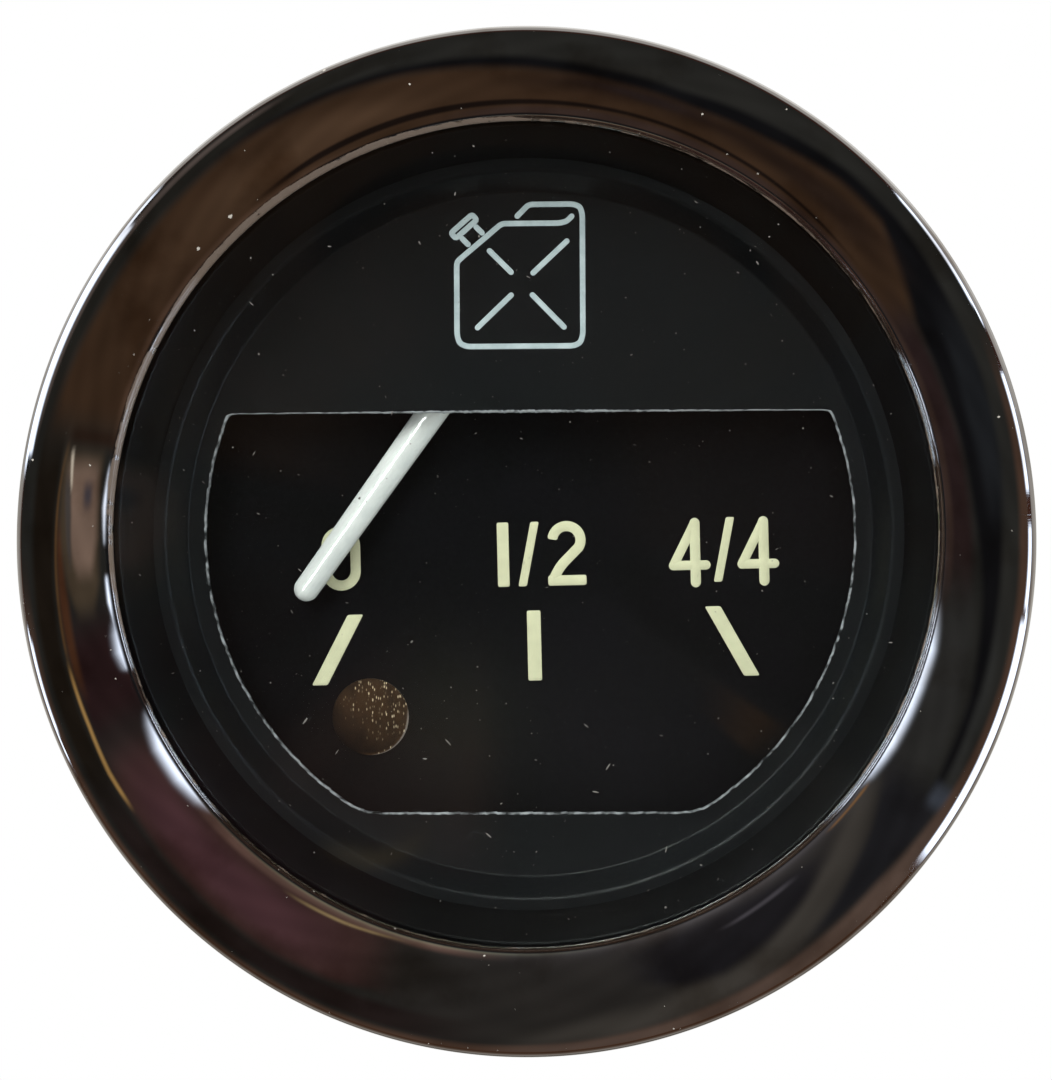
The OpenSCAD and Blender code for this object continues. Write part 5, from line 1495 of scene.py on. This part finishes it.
ROOM = tuple(Reflection(*row) for row in (
    # Wall and ceiling, a greenish grey
    ("#2a2a28", ((330, 0.1, 0.3), (360, 0.1, 0.4), (380, 0.1, 0.45), (405, 0.1, 0.3),
                 (430, 0.15, 0.42), (485, 0.15, 0.4)), (10, 0.05)),
    ("#23221f", ((283, 0.1, 0.24), (325, 0.1, 0.24), (345, 0.1, 0.2)), (10, 0.03)),
    ("#2a2826", ((125, 0.1, 1.1), (200, 0.1, 1.1)), (6, 0.05)),
    ("#303130", ((100, 0.28, 0.4), (122, 0.2, 0.34)), (6, 0.05)),
    ("#2d2d2c", ((98, 0.6, 0.95), (110, 0.5, 0.95), (124, 0.42, 0.95)), (5, 0.09)),
    # The dark edge between wall and table
    ("#131315", ((322, 0.22, 0.3), (345, 0.28, 0.38), (360, 0.34, 0.48), (370, 0.4, 0.55),
                 (380, 0.42, 0.59), (390, 0.35, 0.54), (402, 0.25, 0.42), (410, 0.23, 0.42),
                 (416, 0.25, 0.62), (422, 0.28, 0.7), (435, 0.33, 0.69), (447, 0.36, 0.64),
                 (458, 0.36, 0.52), (470, 0.33, 0.42), (484, 0.3, 0.37)), (7, 0.05)),
    # The table's brown wood
    ("#3c2c20", ((284, 0.25, 1.1), (300, 0.3, 1.1), (325, 0.28, 1.1), (345, 0.37, 1.1),
                 (360, 0.47, 1.1), (372, 0.55, 1.1), (382, 0.57, 1.1), (392, 0.51, 1.1),
                 (402, 0.39, 1.1), (409, 0.38, 1.1), (414, 0.52, 1.1), (422, 0.7, 1.1)), (4, 0.07)),
    ("#503d2e", ((312, 0.52, 0.82), (332, 0.5, 0.8), (348, 0.6, 0.8)), (14, 0.14)),
    ("#2a1f19", ((362, 0.53, 0.68), (385, 0.57, 0.7), (412, 0.45, 0.75)), (8, 0.08)),
    ("#2b2220", ((368, 0.55, 0.6), (376, 0.58, 0.66), (382, 0.57, 0.66)), (5, 0.04)),
    ("#2b2020", ((420, 0.72, 1.1), (432, 0.72, 1.1), (447, 0.68, 1.1), (456, 0.64, 1.1)), (6, 0.06)),
    ("#3b2e29", ((352, 0.87, 1.1), (380, 0.86, 1.1), (412, 0.9, 1.1), (455, 0.85, 1.1)), (8, 0.03)),
    ("#1b1411", ((324, 0.845, 0.88), (332, 0.81, 0.87), (345, 0.79, 0.855), (375, 0.8, 0.835),
                 (395, 0.815, 0.85), (408, 0.85, 0.875)), (5, 0.014)),
    # A doorway, with a pale slanting shape beside it
    ("#1f1f22", ((122, 0.22, 0.9), (130, 0.26, 0.62), (140, 0.26, 0.4), (146, 0.28, 0.32)), (3, 0.06)),
    ("#3e3b37", ((126, 0.76, 0.95), (132, 0.6, 0.84), (138, 0.44, 0.7), (144, 0.3, 0.55),
                 (150, 0.2, 0.42), (168, 0.16, 0.36), (180, 0.14, 0.26)), (5, 0.08)),
    ("#1b1a1d", ((138, 0.68, 0.8), (143, 0.56, 0.83), (149, 0.46, 0.86), (155, 0.4, 0.87),
                 (160, 0.43, 0.86), (165, 0.55, 0.82)), (4, 0.06)),
    ("#4b494f", ((143, 0.75, 0.785), (148, 0.735, 0.765), (152, 0.725, 0.75)), (2.5, 0.015)),
    ("#3b4049", ((120.4, 0.0, 0.36), (123, 0.0, 0.36)), (1.0, 0.06)),
    # Wood and cloth below
    ("#4d3b31", ((72, 0, 0.15), (90, 0, 0.18), (106, 0, 0.17), (124, 0, 0.2), (140, 0, 0.2),
                 (150, 0, 0.18), (165, 0, 0.15), (200, 0, 0.1), (225, 0, 0.09), (262, 0, 0.13)),
     (8, 0.035)),
    ("#231c1b", ((190, 0.14, 0.34), (215, 0.13, 0.3), (240, 0.15, 0.34)), (8, 0.04)),
    ("#3d2b29", ((199, 0.42, 1.1), (204, 0.36, 1.1), (213, 0.33, 1.1), (226, 0.35, 1.1),
                 (242, 0.4, 1.1)), (4, 0.05)),
    ("#4b3236", ((208, 0.44, 0.8), (222, 0.44, 0.78), (238, 0.48, 0.78)), (8, 0.1)),
    ("#5d4740", ((186, 0.87, 1.1), (205, 0.87, 1.1), (229, 0.85, 1.1)), (6, 0.03)),
    ("#291b1c", ((245, 0.42, 1.1), (252, 0.44, 1.1), (259, 0.52, 1.1)), (4, 0.05)),
    ("#1d1813", ((240, 0.17, 0.35), (256, 0.18, 0.37), (272, 0.2, 0.43), (283, 0.2, 0.45)), (6, 0.04)),
    ("#4a2f20", ((252, 0.43, 0.5), (262, 0.44, 0.53), (272, 0.46, 0.52)), (3, 0.03)),
    ("#a5834f", ((237, 0.37, 0.4), (241, 0.36, 0.395), (247, 0.385, 0.415), (254, 0.39, 0.415)),
     (2, 0.016)),
    ("#5a4229", ((256, 0.4, 0.42), (266, 0.425, 0.445), (276, 0.45, 0.47), (281, 0.47, 0.5)),
     (2, 0.016)),
    ("#8d7a58", ((198, 0.875, 0.89), (205, 0.835, 0.86), (212, 0.82, 0.845)), (3, 0.014)),
    # A pale thing on the table
    ("#463c30", ((260.5, 0.6, 0.78), (264, 0.54, 0.85), (270, 0.5, 0.87), (281, 0.46, 0.86)),
     (2, 0.04)),
    ("#776458", ((265.5, 0.64, 0.8), (270, 0.58, 0.85), (275, 0.56, 0.85), (279.5, 0.53, 0.83)),
     (2, 0.04)),
    ("#46413e", ((267, 0.57, 0.6), (273, 0.54, 0.6), (278, 0.51, 0.57)), (2, 0.02)),
    ("#c9bfae", ((276.5, 0.575, 0.59), (281, 0.53, 0.56)), (1, 0.012)),
    ("#4b464c", ((274, 0.72, 0.79), (277, 0.71, 0.79)), (1.3, 0.03)),
    ("#2a1d16", ((282.4, 0.5, 1.1), (284, 0.5, 1.1)), (1.2, 0.06)),
    ("#503d31", ((286, 0.9, 1.1), (300, 0.89, 1.1), (335, 0.91, 1.1)), (6, 0.03)),
    ("#76552f", ((126.5, 0.875, 0.9), (134, 0.88, 0.895)), (1, 0.012)),
    # Light greys close to the outer edge
    ("#202225", ((424, 0.27, 0.5), (436, 0.3, 0.56), (446, 0.33, 0.5)), (6, 0.06)),
    ("#564d49", ((283, 0.09, 0.135), (296, 0.09, 0.145), (330, 0.09, 0.13)), (4, 0.018)),
    ("#574840", ((123, 0.05, 0.21), (134, 0.05, 0.25), (150, 0.05, 0.19), (182, 0.05, 0.13)),
     (5, 0.05)),
))
# Where the near room is open, so that the ring shows the windows behind it: by the lip, then by the outer edge
OPEN = tuple(Reflection("#ffffff", reach, soft) for reach, soft in (
    (((98, 0.99, 2), (101, 0.93, 2), (106, 0.86, 2), (120, 0.85, 2), (125, 0.9, 2), (127.5, 0.97, 2)), (1, 0.09)),
    (((228, 0.98, 2), (231, 0.89, 2), (235, 0.84, 2), (240, 0.84, 2), (243.5, 0.9, 2), (246, 0.97, 2)), (1, 0.1)),
    (((249, 0.98, 2), (251.5, 0.9, 2), (254, 0.87, 2), (256.5, 0.89, 2), (259, 0.95, 2)), (1, 0.09)),
    (((257, 0.93, 2), (261, 0.9, 2), (265, 0.91, 2)), (1, 0.025)),
    (((268.5, 0.92, 2), (274, 0.9, 2), (280, 0.92, 2)), (1, 0.025)),
    (((99, -1, 0.115), (130, -1, 0.115)), (1, 0.012)),
    (((70, -1, 0.09), (98, -1, 0.095)), (1, 0.012)),
    (((48, -1, 0.08), (63, -1, 0.085)), (1, 0.012)),
    (((248, -1, 0.085), (259, -1, 0.09)), (1, 0.012)),
    (((280, -1, 0.12), (309, -1, 0.12)), (1, 0.012))))


@dataclass
class NearRoom:
    """The near part of the room as the chrome shows it: a sheet before the dial that only reflections see.

    Each place on it is where the camera's ray, turned back by one place on the ring, meets the sheet's
    plane: the place on the ring plus the reflected direction times the way to the plane.
    """

    ring: FrontRing
    camera: tuple[float, float, float]
    plane_y: float = -8.5
    outer: float = 0.07
    inner: float = 0.925
    gain: float = 1.3
    mottle: float = 0.16
    wall: str = "#262624"
    middle: str = "#111214"
    glows: tuple[tuple[str, float, float, float], ...] = (
        ("#5a5f4c", -4.5, -11.0, 4.4), ("#48464a", 5.0, -11.0, 8.0))
    waves: tuple[tuple[float, float], ...] = ((11, 9), (23, -14), (37, 31))
    fade: float = 3.0
    sharpness: float = 2.2
    fill_steps: int = 16
    skin_steps: int = 60
    rounds: int = 720

    def build(self) -> None:
        """Works out the sheet and its colours, which three waves of different lengths mottle.

        The sheet's middle is filled from its inner edge, where the colours fade to dark, and each glow adds
        its colour as a bell curve about its own place.
        """
        skin = self.ring.skin(0, self.skin_steps)
        ahead = np.gradient(skin, axis=0)
        ahead /= np.linalg.norm(ahead, axis=1, keepdims=True)
        share = (self.ring.outer_r - skin[:, 0]) / (self.ring.outer_r - self.ring.opening_r)
        used = (share > self.outer) & (share < self.inner) & (skin[:, 1] < self.ring.foot_y)
        skin, ahead, share = skin[used], ahead[used], share[used]
        angle = whole_turn(self.rounds)
        place = about(skin[None, :, 0], skin[None, :, 1], angle)
        self.ring.let_drift(place, skin[None, :, 0], angle)
        normal = about(ahead[None, :, 1], -ahead[None, :, 0], angle)
        way = place - np.array(self.camera)
        way /= np.linalg.norm(way, axis=-1, keepdims=True)
        back = way - 2 * np.sum(way * normal, -1, keepdims=True) * normal
        sheet = place + back * ((self.plane_y - place[..., 1:2]) / back[..., 1:2])
        clock = (90 - np.degrees(angle)) % 360 + 0 * share[None]
        across = share[None] + 0 * angle
        colours = np.broadcast_to(np.array(linear(self.wall)), clock.shape + (4,)).copy()
        wave = np.radians(clock)
        stir = sum(np.sin(along * wave + over * across) for along, over in self.waves)
        for patch in ROOM:
            cover = patch.share(clock, across)[..., None]
            colours = colours + cover * (np.array(linear(patch.colour)) - colours)
        colours[..., :3] *= 1 + self.mottle * stir[..., None] / 3
        for patch in OPEN:
            colours[..., 3] *= 1 - patch.share(clock, across) ** self.sharpness
        fill = np.linspace(1, 0, self.fill_steps)[None, :, None]
        core = sheet[:, :1].mean(0, keepdims=True)
        sheet = np.concatenate([core + (sheet[:, :1] - core) * (1 - fill), sheet], 1)
        dark = np.array(linear(self.middle))
        colours = np.concatenate([dark + (colours[:, :1] - dark) * (1 - fill) ** self.fade, colours], 1)
        for tint, across_x, up_z, spread in self.glows:
            off = np.hypot(sheet[..., 0] - across_x, sheet[..., 2] - up_z)[..., None]
            colours[..., :3] += np.exp(-(off / spread) ** 2) * np.array(linear(tint))[:3]
        self.hang(sheet, colours)

    def hang(self, sheet: np.ndarray, colours: np.ndarray) -> None:
        """Makes the sheet's mesh, which glows in its colours and shows to glossy rays alone.

        Args:
            sheet: its grid of points.
            colours: its colours, one for each point.
        """
        mesh = new_mesh("near_room", sheet, Patch(sheet, round_rows=True).faces().tolist())
        mesh.color_attributes.new("glow", "FLOAT_COLOR", "POINT").data.foreach_set(
            "color", colours.astype(np.float32).ravel())
        material = bpy.data.materials.new("near_room")
        tree = empty_tree(material)
        glow = add_node(tree, "Attribute", attribute_name="glow")
        light = add_node(tree, "Emission", {
            "Color": glow.outputs["Color"], "Strength": self.gain}).outputs[0]
        clear = add_node(tree, "BsdfTransparent").outputs[0]
        mixed = add_node(tree, "MixShader", {0: glow.outputs["Alpha"], 1: clear, 2: light}).outputs[0]
        add_node(tree, "OutputMaterial", {"Surface": mixed})
        material.cycles.emission_sampling = "NONE"
        mesh.materials.append(material)
        room = new_object("near_room", mesh)
        room.visible_camera = room.visible_diffuse = room.visible_shadow = room.visible_transmission = False


# The far room as the chrome shows it: shares of the way from straight ahead of the dial to straight behind it
CEILING = ((0.36, "#2b2a29"), (0.43, "#4a2a22"), (0.52, "#3a2620"), (0.57, "#b9b6b2"))
TABLE = ((0.2, "#3a2a20"), (0.42, "#5a3a28"), (0.54, "#4c382c"), (0.62, "#75675c"), (0.72, "#b9b6b2"))
# Behind the gauge, shares of the way from the floor to the ceiling
HALL = ((0.1, "#35312d"), (0.28, "#8f8a82"), (0.44, "#cbc7bf"), (0.56, "#a19e98"), (0.74, "#fdfcf8"))
# The bright windows: the middle's angle about the gauge's axis, half the width, and the least and greatest
# angle from straight ahead of the dial, in degrees
WINDOWS = ((-24.5, 17, 36, 108), (-4, 6, 40, 96), (10.5, 5.5, 40, 96), (16, 4, 34, 98), (35, 10, 34, 98),
           (155.5, 18, 48, 112), (-163.5, 8, 50, 104))
DAYLIGHT = (2.1, 2.4, 2.9, 1)


@dataclass
class Studio:
    """The camera at the photograph's angle, soft light, the pale stage, and the room that the chrome shows.

    Lengths are in millimetres, apart from the lamps', which are in metres. A window's soft edges are in
    degrees at its near and far end, and its side edge is a share of its half width. The horizon is a span
    of the ray's height, and the turn to what lies behind a span of its angle as a share of half a turn.
    """

    camera_x: float = 14.0
    ring_y: float = -6.0
    distance: float = 250.0
    view_height: float = 63.8
    aim: tuple[float, float] = (0.18, -0.35)
    roll_deg: float = 0.3
    sensor: float = 24.0
    window_soft: tuple[float, float] = (24.0, 8.0)
    window_side: float = 0.82
    horizon: tuple[float, float] = (-0.35, 0.25)
    behind: tuple[float, float] = (0.66, 0.76)
    floor_z: float = -250.0
    floor_r: float = 900.0
    curve_r: float = 600.0
    wall_z: float = 1500.0
    roof_z: float = 2100.0
    key_at: tuple[float, float, float] = (-0.25, -0.5, 0.45)
    fill_at: tuple[float, float, float] = (0.3, 0.55, 0.4)
    lamp_power: float = 4.0
    lamp_size: float = 0.5
    glint_at: tuple[float, float, float] = (-0.152, -0.464, 0.11)
    glint_power: float = 8.0
    glint_size: tuple[float, float] = (0.3, 0.012)

    def build(self) -> None:
        """Builds everything around the object."""
        self.build_camera()
        self.build_world()
        self.build_stage()
        self.build_lights()
        bpy.context.scene.view_settings.view_transform = "Standard"

    def build_camera(self) -> None:
        """Places the camera in front of the ring, a little to the right, with the photograph's field."""
        data = bpy.data.cameras.new("camera")
        data.sensor_fit = "VERTICAL"
        data.sensor_height = data.sensor_width = self.sensor
        data.lens = self.sensor * self.distance / self.view_height
        data.clip_start, data.clip_end = 0.01, 20
        camera = new_object("camera", data)
        place = Vector((self.camera_x, self.ring_y - self.distance, 0)) * MM
        target = Vector((self.aim[0], self.ring_y, self.aim[1])) * MM
        facing = (target - place).to_track_quat("-Z", "Y")
        camera.rotation_euler = facing.to_euler()
        camera.rotation_euler.rotate_axis("Z", math.radians(-self.roll_deg))
        camera.location = place
        bpy.context.scene.camera = camera

    def build_world(self) -> None:
        """White to the camera and to diffuse rays, and to glossy rays a dark room with its windows."""
        world = bpy.data.worlds.new("studio")
        bpy.context.scene.world = world
        tree = empty_tree(world)
        way = add_node(tree, "TexCoord").outputs["Generated"]
        x, y, z = add_node(tree, "SeparateXYZ", {0: way}).outputs
        ahead = add_node(tree, "Math", {0: y, 1: -1.0}, operation="MULTIPLY").outputs[0]
        polar = add_node(tree, "Math", {0: ahead}, operation="ARCCOSINE").outputs[0]
        azimuth = add_node(tree, "Math", {0: z, 1: x}, operation="ARCTAN2").outputs[0]
        shades = []
        for value, least, most, stops in ((polar, 0.0, math.pi, CEILING), (polar, 0.0, math.pi, TABLE),
                                          (z, -1.0, 1.0, HALL)):
            share = add_node(tree, "MapRange", {
                "Value": value, "From Min": least, "From Max": most}).outputs[0]
            shades.append(add_node(tree, "ValToRGB", {"Fac": share}, stops).outputs[0])
        above = add_node(tree, "MapRange", {
            "Value": z, "From Min": self.horizon[0], "From Max": self.horizon[1]},
            interpolation_type="SMOOTHSTEP").outputs[0]
        room = add_node(tree, "Mix", {0: above, 6: shades[1], 7: shades[0]}, data_type="RGBA").outputs[2]
        behind = add_node(tree, "MapRange", {
            "Value": polar, "From Min": self.behind[0] * math.pi, "From Max": self.behind[1] * math.pi},
            interpolation_type="SMOOTHSTEP").outputs[0]
        room = add_node(tree, "Mix", {0: behind, 6: room, 7: shades[2]}, data_type="RGBA").outputs[2]
        for window in WINDOWS:
            room = self.add_window(tree, room, azimuth, polar, window)
        path = add_node(tree, "LightPath")
        soft = add_node(tree, "Mix", {
            0: path.outputs["Is Glossy Ray"], 6: "#ffffff", 7: room}, data_type="RGBA").outputs[2]
        light = add_node(tree, "Background", {"Color": soft, "Strength": 1.0}).outputs[0]
        add_node(tree, "OutputWorld", {"Surface": light})
        world.cycles.sampling_method = "NONE"

    def add_window(self, tree: Tree, room: Socket, azimuth: Socket,
                   polar: Socket, window: tuple[float, ...]) -> Socket:
        """Lets a bright window into the dark room: the product of a soft step at each of its four sides.

        Args:
            tree: the world's nodes.
            room: the room's colour so far.
            azimuth: the ray's angle about the gauge's axis, in radians.
            polar: the ray's angle from straight ahead of the dial, in radians.
            window: its row of WINDOWS.

        Returns:
            The room's colour with the window.
        """
        middle, half, low, high, near_soft, far_soft = np.radians(window + self.window_soft).tolist()
        off = add_node(tree, "Math", {0: azimuth, 1: middle}, operation="SUBTRACT").outputs[0]
        off = add_node(tree, "Math", {0: off}, operation="ABSOLUTE").outputs[0]
        near, far, side = (add_node(tree, "MapRange", {
            "Value": value, "From Min": dark, "From Max": bright}, interpolation_type="SMOOTHSTEP").outputs[0]
            for value, dark, bright in ((polar, low, low + near_soft), (polar, high, high - far_soft),
                                        (off, half, half * self.window_side)))
        tall = add_node(tree, "Math", {0: near, 1: far}, operation="MULTIPLY").outputs[0]
        seen = add_node(tree, "Math", {0: side, 1: tall}, operation="MULTIPLY").outputs[0]
        return add_node(tree, "Mix", {0: seen, 6: room, 7: DAYLIGHT}, data_type="RGBA").outputs[2]

    def build_stage(self) -> None:
        """A white floor that curves up into a round backdrop, seen by the camera alone.

        Each point of the profile, in radius and height, is carried round the upright axis.
        """
        profile = np.vstack([
            [[0, self.floor_z], [self.floor_r, self.floor_z]],
            arc((self.floor_r, self.floor_z + self.curve_r), self.curve_r, -90, 0, 12),
            [[self.floor_r + self.curve_r, self.wall_z], [0, self.roof_z]]])
        points = about(profile[None, :, 0], profile[None, :, 1], whole_turn(96))[..., [0, 2, 1]]
        material = bpy.data.materials.new("pale_backdrop")
        tree = empty_tree(material)
        glow = add_node(tree, "Emission", {"Color": (1, 1, 1, 1), "Strength": 1.0}).outputs[0]
        add_node(tree, "OutputMaterial", {"Surface": glow})
        material.cycles.emission_sampling = "NONE"
        mesh = new_mesh("pale_stage", points, Patch(points, round_rows=True).faces().tolist())
        mesh.materials.append(material)
        stage = new_object("pale_stage", mesh)
        stage.visible_diffuse = stage.visible_glossy = stage.visible_shadow = stage.visible_transmission = False

    def build_lights(self) -> None:
        """A broad soft light at the upper left and one behind, which give no highlights of their own."""
        for name, place in (("soft_key", self.key_at), ("rear_fill", self.fill_at)):
            data = bpy.data.lights.new(name, "AREA")
            data.shape, data.size, data.energy = "DISK", self.lamp_size, self.lamp_power
            lamp = new_object(name, data)
            lamp.location = place
            lamp.rotation_mode = "QUATERNION"
            lamp.rotation_quaternion = (-lamp.location).to_track_quat("-Z", "Y")
            lamp.visible_glossy = False
        self.build_glint()

    def build_glint(self) -> None:
        """A narrow lamp to the upper left that lies along the needle, for gloss on it alone."""
        data = bpy.data.lights.new("glint", "AREA")
        data.shape, data.energy = "RECTANGLE", self.glint_power
        data.size, data.size_y = self.glint_size
        lamp = new_object("glint", data)
        lamp.location = self.glint_at
        lean = math.radians(Needle.rest_deg)
        back = lamp.location.normalized()
        side = Vector((-math.sin(lean), 0, -math.cos(lean)))
        side = (side - back * side.dot(back)).normalized()
        lamp.rotation_mode = "QUATERNION"
        lamp.rotation_quaternion = Matrix((side, back.cross(side), back)).transposed().to_quaternion()
        lamp.visible_diffuse = False
        lit = bpy.data.collections.new("glint_lit")
        lit.objects.link(bpy.data.objects["white_needle"])
        lamp.light_linking.receiver_collection = lit


def main() -> None:
    """Builds the sub-assemblies in order, then the studio, and notes the sizes."""
    logging.basicConfig(level=logging.INFO, format="%(name)s: %(message)s")
    dress_nodes()
    ring = FrontRing()
    ring.build()
    CoverGlass().build()
    MaskFace().build()
    DialFace().build()
    Needle().build()
    BackWork().build()
    studio = Studio()
    studio.build()
    NearRoom(ring, (studio.camera_x, studio.ring_y - studio.distance, 0)).build()


if __name__ == "__main__":
    main()
